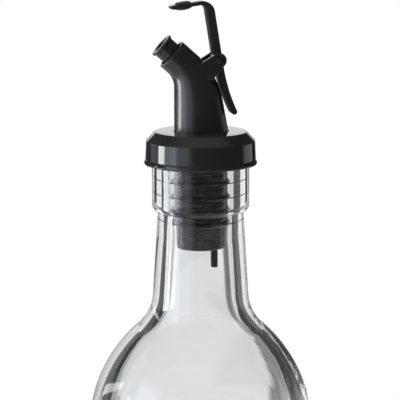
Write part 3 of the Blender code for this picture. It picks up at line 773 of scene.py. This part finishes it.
def lofted(name, rings, material, sharp=32.0):
    # a skin over closed rings of points in millimetres, with both ends shut
    work = bmesh.new()
    rows = [[work.verts.new(Vector(point) * mm) for point in ring] for ring in rings]
    count = len(rings[0])
    for low, high in zip(rows, rows[1:]):
        for i in range(count):
            j = (i + 1) % count
            work.faces.new((low[i], low[j], high[j], high[i]))
    work.faces.new(rows[0])
    work.faces.new(rows[-1])
    return madeOf(work, name, material, sharp)


def rod(name, x, radius, low, high, steps, material):
    # an upright round bar
    ring = circle((x, 0.0), radius, steps)
    return lofted(name, [[(px, py, z) for px, py in ring] for z in (low, high)], material)


def settled(item, tools=(), sharp=32.0):
    # applies all modifiers and drops the tools
    graph = bpy.context.evaluated_depsgraph_get()
    mesh = bpy.data.meshes.new_from_object(item.evaluated_get(graph))
    item.modifiers.clear()
    item.data = mesh
    for tool in tools:
        bpy.data.objects.remove(tool)
    tidyMesh(mesh, sharp)
    return item


def carved(item, tools, sharp):
    # applies Booleans in turn; each tool is (object, operation)
    for tool, operation in tools:
        modifier = item.modifiers.new("carve", "BOOLEAN")
        modifier.object = tool
        modifier.operation = operation
        modifier.solver = "EXACT"
    return settled(item, [tool for tool, _ in tools], sharp)


bevelAngle = 50.0               # degrees; flatter edges keep their form


def bevelled(item, width, segments, sharp=32.0):
    bevel = item.modifiers.new("edge", "BEVEL")
    bevel.width = width * mm
    bevel.segments = segments
    bevel.limit_method = "ANGLE"
    bevel.angle_limit = math.radians(bevelAngle)
    bevel.use_clamp_overlap = True
    return settled(item, sharp=sharp)


def aboveCap(point, y=0.0):
    return Vector((point[0], y, capTop + point[1]))


bottleSize = {
    "mouthHeight": 232.0, "bodyRadius": 35.9, "bodyWall": 3.4, "shoulderDrop": 93.6,
    "shoulderRadius": 45.8, "throatRadius": 16.1, "neckRadius": 13.4, "neckTaper": 0.064,
    "neckWall": 4.76, "neckEndWall": 4.5, "throatWall": 4.2, "shoulderWall": 6.0,
    "thinningLength": 50.0, "thinningSteps": 12,
    "bandRadius": 15.15, "bandHeight": 22.0, "bandCorner": 1.7, "bandCornerStart": -80.0,
    "bandStep": 0.6, "bandSlope": 0.3, "bandFillet": 0.45, "boreRadius": 9.4, "boreDepth": 27.0,
    "boreBlend": 4.0, "boreFillet": 5.0, "lipRound": 1.0, "baseThickness": 5.6,
    "puntRise": 3.2, "footInner": 24.5, "footOuter": 31.2,
    "innerHeel": 7.0, "innerHeelTurn": -82.0, "innerHeelDrop": 1.6,
    "floorCrown": ((18.0, 0.9), (14.0, 0.5), (8.0, 0.15), (0.0, 0.0)),     # radius and drop
    "outerSide": (20.0, 130.0), "innerSide": (80.0, 30.0),                 # straight parts
    "steps": 192, "neckSteps": 36, "throatSteps": 32, "shoulderSteps": 72, "puntSteps": 16,
    "heelSteps": 14, "sideSteps": 10, "filletSteps": 5, "cornerSteps": 10, "lipSteps": 8,
    "boreSteps": 8, "boreFilletSteps": 4, "innerSideSteps": 5, "innerHeelSteps": 12,
}
# Blown glass has an even outside and a slightly wavy inside below the bore, with a finer
# ripple towards the right. Squash draws the waves out along the height.
waveSize = {
    "depth": 0.07, "length": 11.0, "squash": 0.45, "rippleDepth": 0.022, "rippleLength": 2.6,
    "rippleSquash": 0.7, "rippleFrom": 0.35, "rippleWidth": 0.4,           # cosines
    "foot": 14.0, "topGap": 8.0, "topEase": 20.0, "core": 6.0,
}


def outerGlass(size):
    # the outer line from the band down to the body, and the wall behind each of its points
    taper = size["neckTaper"]
    lean = math.atan(taper)
    top = size["mouthHeight"] - size["bandHeight"]
    shoulderX = size["bodyRadius"] - size["shoulderRadius"]
    shoulderZ = size["mouthHeight"] - size["shoulderDrop"]
    # The throat's circle touches both the leaning neck and the shoulder's circle.
    reach = size["shoulderRadius"] + size["throatRadius"]
    start = (size["neckRadius"] + size["throatRadius"] / math.cos(lean) - shoulderX
             + taper * (top - shoulderZ))
    a = 1.0 + taper ** 2
    b = -2.0 * taper * start
    c = start ** 2 - reach ** 2
    rise = (-b + math.sqrt(b * b - 4.0 * a * c)) / (2.0 * a)
    across = start - taper * rise
    meet = math.degrees(math.atan2(rise, across))
    throat = arc((shoulderX + across, shoulderZ + rise), size["throatRadius"],
                 180.0 + math.degrees(lean), 180.0 + meet, size["throatSteps"])
    shoulder = arc((shoulderX, shoulderZ), size["shoulderRadius"], meet, 0.0,
                   size["shoulderSteps"])
    neck = []
    for height in evenly(top, throat[0][1], size["neckSteps"])[:-1]:
        neck.append((size["neckRadius"] + taper * (top - height), height))
    walls = evenly(size["neckWall"], size["neckEndWall"], size["neckSteps"])[:-1]
    walls += evenly(size["neckEndWall"], size["throatWall"], size["throatSteps"])
    walls += evenly(size["throatWall"], size["shoulderWall"], size["shoulderSteps"])[1:]
    return neck + throat + shoulder[1:], walls


def innerGlass(points, walls):
    inner = []
    for i, (point, wall) in enumerate(zip(points, walls)):
        before = Vector(points[max(i - 1, 0)])
        after = Vector(points[min(i + 1, len(points) - 1)])
        along = (after - before).normalized()
        inner.append(tuple(Vector(point) + Vector((along.y, -along.x)) * wall))
    return inner


def bottleOutline(size):
    # up the outside from the middle of the base, over the lip and down the inside
    side, walls = outerGlass(size)
    mouth = size["mouthHeight"]
    radius = size["bodyRadius"]
    rise = size["puntRise"]
    puntRadius = (size["footInner"] ** 2 + rise ** 2) / (2.0 * rise)
    puntAngle = math.degrees(math.asin(size["footInner"] / puntRadius))
    outline = [(0.0, rise)]
    outline += arc((0.0, rise - puntRadius), puntRadius, 90.0, 90.0 - puntAngle,
                   size["puntSteps"])[1:]
    heel = radius - size["footOuter"]
    outline += arc((size["footOuter"], heel), heel, -90.0, 0.0, size["heelSteps"])
    outline += [(radius, height) for height in evenly(*size["outerSide"], size["sideSteps"])]
    outline += side[::-1]
    band = mouth - size["bandHeight"]
    step = band + size["bandStep"]
    neck = size["neckRadius"]
    widest = size["bandRadius"]
    corner = size["bandCorner"]
    outline += rounded((neck, band), (neck, step), (widest, step + size["bandSlope"]),
                       size["bandFillet"], size["filletSteps"])
    outline += arc((widest - corner, step + corner), corner, size["bandCornerStart"], 0.0,
                   size["cornerSteps"])
    outline += [(widest, mouth - size["bandHeight"] / 2.0)]
    lip = size["lipRound"]
    bore = size["boreRadius"]
    boreEnd = mouth - size["boreDepth"]
    outline += arc((widest - lip, mouth - lip), lip, 0.0, 90.0, size["lipSteps"])
    outline += arc((bore + lip, mouth - lip), lip, 90.0, 180.0, size["lipSteps"])
    outline += [(bore, height) for height in evenly(mouth, boreEnd, size["boreSteps"])[1:-1]]
    inside = [point for point in innerGlass(side, walls)
              if point[1] < boreEnd - size["boreBlend"]]
    outline += rounded((bore, mouth), (bore, boreEnd), inside[0], size["boreFillet"],
                       size["boreFilletSteps"])
    outline += inside
    shoulder = mouth - size["shoulderDrop"]
    for share in evenly(0.0, 1.0, size["thinningSteps"])[1:]:
        wall = between(size["shoulderWall"], size["bodyWall"], eased(share))
        outline.append((radius - wall, shoulder - size["thinningLength"] * share))
    inner = radius - size["bodyWall"]
    bottom = rise + size["baseThickness"]
    turn = size["innerHeel"]
    outline += [(inner, height)
                for height in evenly(*size["innerSide"], size["innerSideSteps"])]
    outline += arc((inner - turn, bottom - size["innerHeelDrop"] + turn), turn, 0.0,
                   size["innerHeelTurn"], size["innerHeelSteps"])
    outline += [(x, bottom - drop) for x, drop in size["floorCrown"]]
    return outline


def waveAt(point, length, squash):
    return noise.noise(Vector((point.x, point.y, point.z * squash)) / (length * mm))


def makeBottle(size, wave):
    bottle = turned("glassBottle", bottleOutline(size), size["steps"], clearGlass, sharp=60.0)
    top = (size["mouthHeight"] - size["boreDepth"] - wave["topGap"]) * mm
    moved = []
    for vertex in bottle.data.vertices:
        point = vertex.co.copy()
        away = math.hypot(point.x, point.y)
        inside = vertex.normal.x * point.x + vertex.normal.y * point.y < 0.0
        if inside and wave["foot"] * mm < point.z < top and away > wave["core"] * mm:
            right = (point.x / away - wave["rippleFrom"]) / wave["rippleWidth"]
            depth = waveAt(point, wave["length"], wave["squash"]) * wave["depth"]
            depth += (waveAt(point, wave["rippleLength"], wave["rippleSquash"])
                      * wave["rippleDepth"] * max(0.0, min(1.0, right)))
            ease = min(1.0, (top - point.z) / (wave["topEase"] * mm))
            point += vertex.normal * depth * mm * ease
        moved.extend(point)
    bottle.data.vertices.foreach_set("co", moved)
    bottle.data.update()
    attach(bottle, "bottle")
    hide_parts("glass_bottle")


makeBottle(bottleSize, waveSize)
print("glass bottle made")


capSize = {
    "hole": 5.8, "topRadius": 14.2, "chamferRadius": 16.9, "chamferDrop": 2.9,
    "wallRadius": 17.15, "wallDrop": 8.4, "lipRadius": 17.58, "lipDrop": 9.7,
    "lipUnder": 0.2, "height": 10.15, "ceiling": 1.7, "skirt": 15.45, "edge": 0.35,
    "groove": 0.15, "grooveEnd": 0.35, "grooveFlare": 0.05,
    "pocket": 0.6, "pocketPlay": 0.3, "steps": 144,
}


def makeCap(size):
    wall = size["wallRadius"]
    drop = size["wallDrop"]
    lip = size["lipRadius"]
    corners = [
        (size["hole"], 0.0, 0.0),
        (size["topRadius"], 0.0, 0.3),
        (size["chamferRadius"], -size["chamferDrop"], size["edge"]),
        (wall, -drop, 0.06),
        (wall - size["groove"], -drop - size["groove"], 0.05),
        (wall + size["grooveFlare"], -drop - size["grooveEnd"], 0.1),
        (lip, -size["lipDrop"], 0.2),
        (lip - size["lipUnder"], -size["height"], 0.15),
        (size["skirt"], -size["height"], 0.15),
        (size["skirt"], -size["ceiling"], 0.2),
        (size["hole"], -size["ceiling"], 0.0),
    ]
    outline = [(x, capTop + z) for x, z in softened(corners)]
    cap = turned("pourerCap", outline, size["steps"], glossBlack, sharp=40.0)
    foot = towerRing((towerSize["frontX"], 0.0), (towerSize["backX"], 0.0),
                     towerSize["halfWidth"] + size["pocketPlay"], size["pocketPlay"])
    rings = [[(p.x, p.y, capTop + z) for p in foot] for z in (-size["pocket"], toolReach)]
    carved(cap, [(lofted("pocketTool", rings, glossBlack), "DIFFERENCE")], sharp=40.0)
    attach(cap, "bottle")
    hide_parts("pourer_cap")


stopperSize = {
    "topDrop": 2.0, "flangeRadius": 13.0, "flangeThickness": 1.0, "coreRadius": 8.2,
    "tailRadius": 7.5, "tailFlare": 0.25, "tailDrop": 0.3, "tailSlope": 0.8,
    "ribDrops": (15.6, 20.1, 25.2, 28.6), "ribThickness": 1.0, "ribRadius": 9.52,
    "bottomDrop": 36.3, "socketRadius": 5.8, "socketDrop": 14.0, "pourRadius": 2.95,
    "pourX": -1.7, "pourSides": 48, "airX": 4.4, "airRadius": 1.42, "airSides": 32,
    "steps": 96,
}


def makeStopper(size):
    top = -size["topDrop"]
    flangeEnd = top - size["flangeThickness"]
    core = size["coreRadius"]
    last = -size["ribDrops"][-1]
    bottom = -size["bottomDrop"]
    socket = -size["socketDrop"]
    corners = [
        (size["socketRadius"], top, 0.0),
        (size["flangeRadius"], top, 0.3),
        (size["flangeRadius"], flangeEnd, 0.3),
        (core, flangeEnd, 0.3),
        (core, last - size["tailDrop"], 0.2),
        (size["tailRadius"] + size["tailFlare"], last - size["tailSlope"], 0.2),
        (size["tailRadius"], bottom, 0.6),
        (0.0, bottom, 0.0),
        (0.0, socket, 0.0),
        (size["socketRadius"], socket, 0.0),
    ]
    points = [(x, capTop + z) for x, z in softened(corners)]
    body = turnedShell("stopper", points, size["steps"], stopperBlack)
    heights = bpy.data.meshes.new("ribHeights")
    half = size["ribThickness"] / 2.0
    heights.from_pydata([(0.0, 0.0, (capTop - drop + half) * mm)
                         for drop in size["ribDrops"]], [], [])
    ribMesh = baked(newObject("ribHeights", heights), ribTree, {
        "Steps": size["steps"], "Core radius": core * mm,
        "Rib reach": (size["ribRadius"] - core) * mm, "Rib half height": half * mm,
        "Finish": stopperBlack})
    tidyMesh(ribMesh, 60.0)
    ribs = newObject("ribs", ribMesh)
    low = capTop + bottom - toolReach
    high = capTop + socket + toolReach
    pour = rod("pourTool", size["pourX"], size["pourRadius"], low, high, size["pourSides"],
               stopperBlack)
    air = rod("airTool", size["airX"], size["airRadius"], low, high, size["airSides"],
              stopperBlack)
    carved(body, [(ribs, "UNION"), (pour, "DIFFERENCE"), (air, "DIFFERENCE")], sharp=40.0)
    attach(body, "bottle")
    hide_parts("stopper")


airTubeSize = {"radius": 1.12, "bore": 0.55, "x": 4.4, "topDrop": 14.5, "endDrop": 43.0,
               "steps": 40}


def makeAirTube(size):
    high = capTop - size["topDrop"]
    low = capTop - size["endDrop"]
    corners = [(size["bore"], high, 0.1), (size["radius"], high, 0.1),
               (size["radius"], low, 0.2), (size["bore"], low, 0.15)]
    shift = Matrix.Translation((size["x"] * mm, 0.0, 0.0))
    tube = turned("airTube", softened(corners, closed=True), size["steps"], softBlack,
                  placeBy=shift)
    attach(tube, "bottle")
    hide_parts("air_tube")


towerSize = {
    "frontX": -8.2, "frontBend": 6.0, "backX": 8.65, "backLean": 10.8, "backBend": 26.0,
    "halfWidth": 6.5, "footSink": 0.3, "spigotRadius": 5.5, "spigotDrop": 13.7,
    "spigotRoot": 2.0, "channelRadius": 3.6, "channelBend": 8.0, "channelSides": 40,
    "mouthRadius": 2.8, "mouthEnd": 7.0, "steps": 96, "uprightRings": 14, "bendRings": 28,
    "edgeRings": 5, "frontSteps": 20, "backSteps": 36, "elbowSteps": 12, "spigotSides": 64,
    "spoutRise": 41.5, "collarRadius": 5.05, "collarX": -9.1, "collarZ": 23.95,
    "collarEdge": 0.3, "recessRadius": 4.35, "recessDepth": 0.8,
}
nozzleSize = {"radius": 3.5, "rimRadius": 3.95, "rim": 0.85, "rimRoot": 0.15, "reach": 4.3,
              "inset": 5.4, "bore": 2.4, "steps": 96}
hingeSize = {
    "pivotX": 5.05, "pivotZ": 22.05, "earInner": 3.3, "earOuter": 4.8, "earRadius": 2.25,
    "earTip": (2.88, 16.0), "earRoot": (-2.6, 20.0), "earBelly": (-2.0, 17.0),
    "earSteps": 40, "earEdge": 0.18, "earSegments": 3,
    "pinRadius": 0.9, "pinHalf": 4.7, "pinEdge": 0.2, "gap": 0.3, "pinShown": 1.12,
    "steps": 48,
}
spoutWay = Vector((-math.cos(math.radians(towerSize["spoutRise"])),
                   math.sin(math.radians(towerSize["spoutRise"]))))
collarMiddle = Vector((towerSize["collarX"], towerSize["collarZ"]))
pivot = Vector((hingeSize["pivotX"], hingeSize["pivotZ"]))


def towerRing(front, back, halfWidth, grow=0.0):
    # an oval through a front and a back point of the middle plane
    front = Vector(front)
    back = Vector(back)
    along = (back - front) / 2.0
    along = along * ((along.length + grow) / along.length)
    ring = []
    for x, y in circle((0.0, 0.0), 1.0, towerSize["steps"]):
        ring.append(aboveCap((front + back) / 2.0 + along * x, halfWidth * y))
    return ring


def towerRings(size):
    across = Vector((-spoutWay.y, spoutWay.x))
    collar = size["collarRadius"]
    frontEnd = collarMiddle + across * collar
    backEnd = collarMiddle - across * collar
    frontFoot = Vector((size["frontX"], 0.0))
    backFoot = Vector((size["backX"], 0.0))
    lean = math.radians(size["backLean"])
    backWay = Vector((-math.sin(lean), math.cos(lean)))
    frontCorner = crossing(frontFoot, Vector((0.0, 1.0)), frontEnd, spoutWay)
    backCorner = crossing(backFoot, backWay, backEnd, spoutWay)
    frontBend = rounded(frontFoot, frontCorner, frontEnd, size["frontBend"],
                        size["frontSteps"])
    backBend = rounded(backFoot, backCorner, backEnd, size["backBend"], size["backSteps"])
    bendStart = backBend[0][1]
    rings = []
    for height in evenly(-size["footSink"], bendStart, size["uprightRings"])[:-1]:
        backX = size["backX"] - height * math.tan(lean)
        rings.append(towerRing((size["frontX"], height), (backX, height), size["halfWidth"]))
    frontLine = [(size["frontX"], bendStart)] + frontBend
    for share in evenly(0.0, 1.0, size["bendRings"]):
        width = between(size["halfWidth"], collar, eased(share))
        rings.append(towerRing(alongLine(frontLine, share), alongLine(backBend, share), width))
    edge = size["collarEdge"]
    shares = evenly(0.0, 1.0, size["edgeRings"])[1:]
    for share in shares:
        front = Vector(frontBend[-1]).lerp(frontEnd - spoutWay * edge, share)
        back = Vector(backBend[-1]).lerp(backEnd - spoutWay * edge, share)
        rings.append(towerRing(front, back, collar))
    for share in shares:
        angle = math.radians(90.0 * share)
        inward = edge * (1.0 - math.cos(angle))
        onward = spoutWay * (edge * (math.sin(angle) - 1.0))
        rings.append(towerRing(frontEnd + onward - across * inward,
                               backEnd + onward + across * inward, collar - inward))
    return rings


def earOutline(size):
    root = Vector(size["earRoot"])
    tip = Vector(size["earTip"])
    ends = []
    for corner, side in ((root, 1.0), (tip, -1.0)):
        away = pivot - corner
        spread = math.asin(size["earRadius"] / away.length)
        ends.append(math.degrees(math.atan2(away.y, away.x) + side * spread) + side * 90.0)
    points = [tuple(root)] + arc(pivot, size["earRadius"], *ends, size["earSteps"])
    return points + [tuple(tip), size["earBelly"]]


def plate(name, outline, low, high):
    # an outline of the middle plane given a thickness along Y
    rings = [[aboveCap(point, y) for point in outline] for y in (low, high)]
    return lofted(name, rings, satinBlack)


barStart = 2.0                  # degrees; keeps the tools' corners off the ear's own


def bar(name, radius, half):
    # a round bar on the hinge's axis
    return plate(name, circle(pivot, radius, hingeSize["steps"], barStart), -half, half)


def spoutFrame():
    turn = Matrix.Rotation(-math.radians(90.0 - towerSize["spoutRise"]), 4, "Y")
    return Matrix.Translation(aboveCap(collarMiddle) * mm) @ turn


def channelTool(size):
    # a bent bar: along the spout's axis, then down through the spigot
    elbow = collarMiddle - spoutWay * (collarMiddle.x / spoutWay.x)
    mouth = [collarMiddle - spoutWay * (nozzleSize["inset"] + reach)
             for reach in (-toolReach, hingeSize["gap"])]
    line = mouth + [collarMiddle - spoutWay * size["mouthEnd"]]
    line += rounded(collarMiddle, elbow, (elbow.x, 0.0), size["channelBend"],
                    size["elbowSteps"])
    line += [Vector((0.0, -size["spigotDrop"] - toolReach))]
    rings = []
    for i, point in enumerate(line):
        radius = size["mouthRadius"] if i < len(mouth) else size["channelRadius"]
        before = Vector(line[max(i - 1, 0)])
        after = Vector(line[min(i + 1, len(line) - 1)])
        way = (after - before).normalized()
        across = Vector((way.y, -way.x))
        rings.append([aboveCap(Vector(point) + across * x, y)
                      for x, y in circle((0.0, 0.0), radius, size["channelSides"])])
    return lofted("channelTool", rings, satinBlack)


def makeTower(size):
    tower = lofted("spoutTower", towerRings(size), satinBlack, sharp=50.0)
    tools = [(rod("spigot", 0.0, size["spigotRadius"], capTop - size["spigotDrop"],
                  capTop + size["spigotRoot"], size["spigotSides"], satinBlack), "UNION")]
    for side in (-1.0, 1.0):
        ear = plate("ear", earOutline(hingeSize), side * hingeSize["earInner"],
                    side * hingeSize["earOuter"])
        tools.append((bevelled(ear, hingeSize["earEdge"], hingeSize["earSegments"]), "UNION"))
    tools.append((channelTool(size), "DIFFERENCE"))
    gap = hingeSize["gap"]
    foot = -nozzleSize["inset"] - gap
    seat = nozzleSize["radius"] + gap
    recess = size["recessRadius"]
    socket = [(0.0, foot), (seat, foot), (seat, -size["recessDepth"]),
              (recess, -size["recessDepth"]), (recess, toolReach), (0.0, toolReach)]
    tools.append((turned("socketTool", socket, nozzleSize["steps"], satinBlack,
                         placeBy=spoutFrame()), "DIFFERENCE"))
    tools.append((bar("pinHoleTool", hingeSize["pinRadius"] + gap,
                      hingeSize["earOuter"] + toolReach), "DIFFERENCE"))
    carved(tower, tools, sharp=34.0)
    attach(tower, "bottle")
    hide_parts("spout_tower")


def makeNozzle(size):
    rim = size["reach"] - size["rim"]
    corners = [
        (size["bore"], -size["inset"], 0.0),
        (size["bore"], size["reach"], 0.35),
        (size["rimRadius"], size["reach"], 0.3),
        (size["rimRadius"], rim, 0.25),
        (size["radius"], rim - size["rimRoot"], 0.15),
        (size["radius"], -size["inset"], 0.2),
    ]
    nozzle = turned("nozzleTube", softened(corners, closed=True), size["steps"], satinBlack,
                    sharp=40.0, placeBy=spoutFrame())
    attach(nozzle, "bottle")
    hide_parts("nozzle_tube")


def makePin(size):
    half = size["pinHalf"]
    edge = size["pinEdge"]
    full = size["pinShown"]
    rings = []
    for y, radius in ((-half, full - edge), (-half + edge, full), (half - edge, full),
                      (half, full - edge)):
        rings.append([aboveCap(point, y) for point in circle(pivot, radius, size["steps"])])
    pin = lofted("hingePin", rings, satinBlack, sharp=50.0)
    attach(pin, "bottle")
    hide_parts("hinge_pin")


makeCap(capSize)
makeStopper(stopperSize)
makeAirTube(airTubeSize)
makeTower(towerSize)
makeNozzle(nozzleSize)
makePin(hingeSize)
print("pourer made")


leverSize = {
    "closing": 40.0, "halfWidth": 3.0, "hubRadius": 2.0, "armLean": 9.2, "armFront": 1.15,
    "armBack": 1.25, "fingerThickness": 1.2, "fingerReach": 3.45, "innerBend": 1.6,
    "outerBend": 3.8, "tailStart": 2.2, "tailBend": 51.0, "tailEndLean": 25.3,
    "tailRoot": 2.2, "tailEnd": 1.75, "edge": 0.5, "edgeSegments": 4, "tailSteps": 24,
    "endSteps": 16, "outerSteps": 20, "innerSteps": 14,
}
padSize = {
    "radius": 2.7, "drop": 0.75, "dome": 0.04, "domeShare": 0.55, "edgeThickness": 0.25,
    "edgeTaper": 0.05, "buttonRadius": 2.6, "buttonHeight": 0.65,
    "buttonCrown": ((0.8, 0.72), (0.4, 0.97)),      # shares of its radius and height
    "stemRadius": 1.0, "play": 0.05, "closedGap": 0.3, "holeTop": 4.0, "holeSides": 40,
    "steps": 72,
}


def padMiddle():
    # the pad's place with the lever open, turned back from the nozzle's mouth
    closed = collarMiddle + spoutWay * (nozzleSize["reach"] + padSize["closedGap"])
    turn = Matrix.Rotation(-math.radians(leverSize["closing"]), 2)
    return pivot + turn @ (closed - pivot)


def fingerLine():
    fall = math.radians(towerSize["spoutRise"] - 90.0 + leverSize["closing"])
    along = Vector((-math.cos(fall), math.sin(fall)))
    return along, Vector((along.y, -along.x))


def padFrame():
    up = fingerLine()[1]
    turn = Matrix.Rotation(math.atan2(up.x, up.y), 4, "Y")
    return Matrix.Translation(aboveCap(padMiddle()) * mm) @ turn


def leverOutline(size):
    along, up = fingerLine()
    under = padMiddle() + up * padSize["drop"]
    lean = math.radians(size["armLean"])
    armDown = Vector((math.sin(lean), -math.cos(lean)))
    armOut = Vector((math.cos(lean), math.sin(lean)))
    front = pivot - armOut * size["armFront"]
    back = pivot + armOut * size["armBack"]
    thick = size["fingerThickness"]
    tip = under + along * size["fingerReach"]
    inner = crossing(under, along, front, armDown)
    outer = crossing(under + up * thick, along, back, armDown)
    tailTop = back + armDown * size["tailStart"]
    middle = tailTop + armOut * size["tailBend"]
    outside = arc(middle, size["tailBend"], 180.0 + size["armLean"],
                  180.0 + size["tailEndLean"], size["tailSteps"])
    inside = []
    for point, share in zip(outside, evenly(0.0, 1.0, size["tailSteps"])):
        angle = math.radians(180.0 + between(size["armLean"], size["tailEndLean"], share))
        width = between(size["tailRoot"], size["tailEnd"], share)
        inside.append(Vector(point) + Vector((math.cos(angle), math.sin(angle))) * width)
    capEnd = arc((Vector(outside[-1]) + inside[-1]) / 2.0, size["tailEnd"] / 2.0,
                 size["tailEndLean"], size["tailEndLean"] - 180.0, size["endSteps"])
    upward = math.degrees(math.atan2(up.y, up.x))
    points = arc(tip + up * (thick / 2.0), thick / 2.0, upward + 180.0, upward,
                 size["endSteps"])
    points += rounded(tip + up * thick, outer, tailTop, size["outerBend"],
                      size["outerSteps"])
    points += outside + capEnd[1:-1]
    points += [tuple(point) for point in inside[::-1]]
    points += [tuple(front - armDown * size["tailStart"])]
    points += rounded(front, inner, tip, size["innerBend"], size["innerSteps"])
    return points


def makeLever(size):
    half = size["halfWidth"]
    lever = plate("lever", leverOutline(size), -half, half)
    gap = hingeSize["gap"]
    stem = padSize["stemRadius"] + gap
    top = padSize["holeTop"]
    outline = [(0.0, -toolReach), (stem, -toolReach), (stem, top), (0.0, top)]
    hole = turned("padHoleTool", outline, padSize["holeSides"], satinBlack,
                  placeBy=padFrame())
    bore = bar("boreTool", hingeSize["pinRadius"] + gap, half + toolReach)
    carved(lever, [(bar("hubTool", size["hubRadius"], half), "UNION"), (bore, "DIFFERENCE"),
                   (hole, "DIFFERENCE")], sharp=30.0)
    bevelled(lever, size["edge"], size["edgeSegments"], sharp=30.0)
    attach(lever, "lever")
    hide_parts("lever")


def makePad(size):
    over = size["drop"] + leverSize["fingerThickness"] + size["play"]
    under = size["drop"] - size["play"]
    radius = size["radius"]
    button = size["buttonRadius"]
    rise = size["buttonHeight"]
    corners = [
        (0.0, 0.0, 0.0),
        (radius * size["domeShare"], size["dome"], 0.8),
        (radius - size["edgeTaper"], under - size["edgeThickness"], 0.1),
        (radius, under, 0.08),
        (size["stemRadius"], under, 0.1),
        (size["stemRadius"], over, 0.1),
        (button, over, 0.05),
        *((button * out, over + rise * up, 0.6) for out, up in size["buttonCrown"]),
        (0.0, over + rise, 0.0),
    ]
    pad = turned("sealPad", softened(corners), size["steps"], softBlack, sharp=40.0,
                 placeBy=padFrame())
    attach(pad, "lever")
    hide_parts("seal_pad")


makeLever(leverSize)
makePad(padSize)
print("lever made")
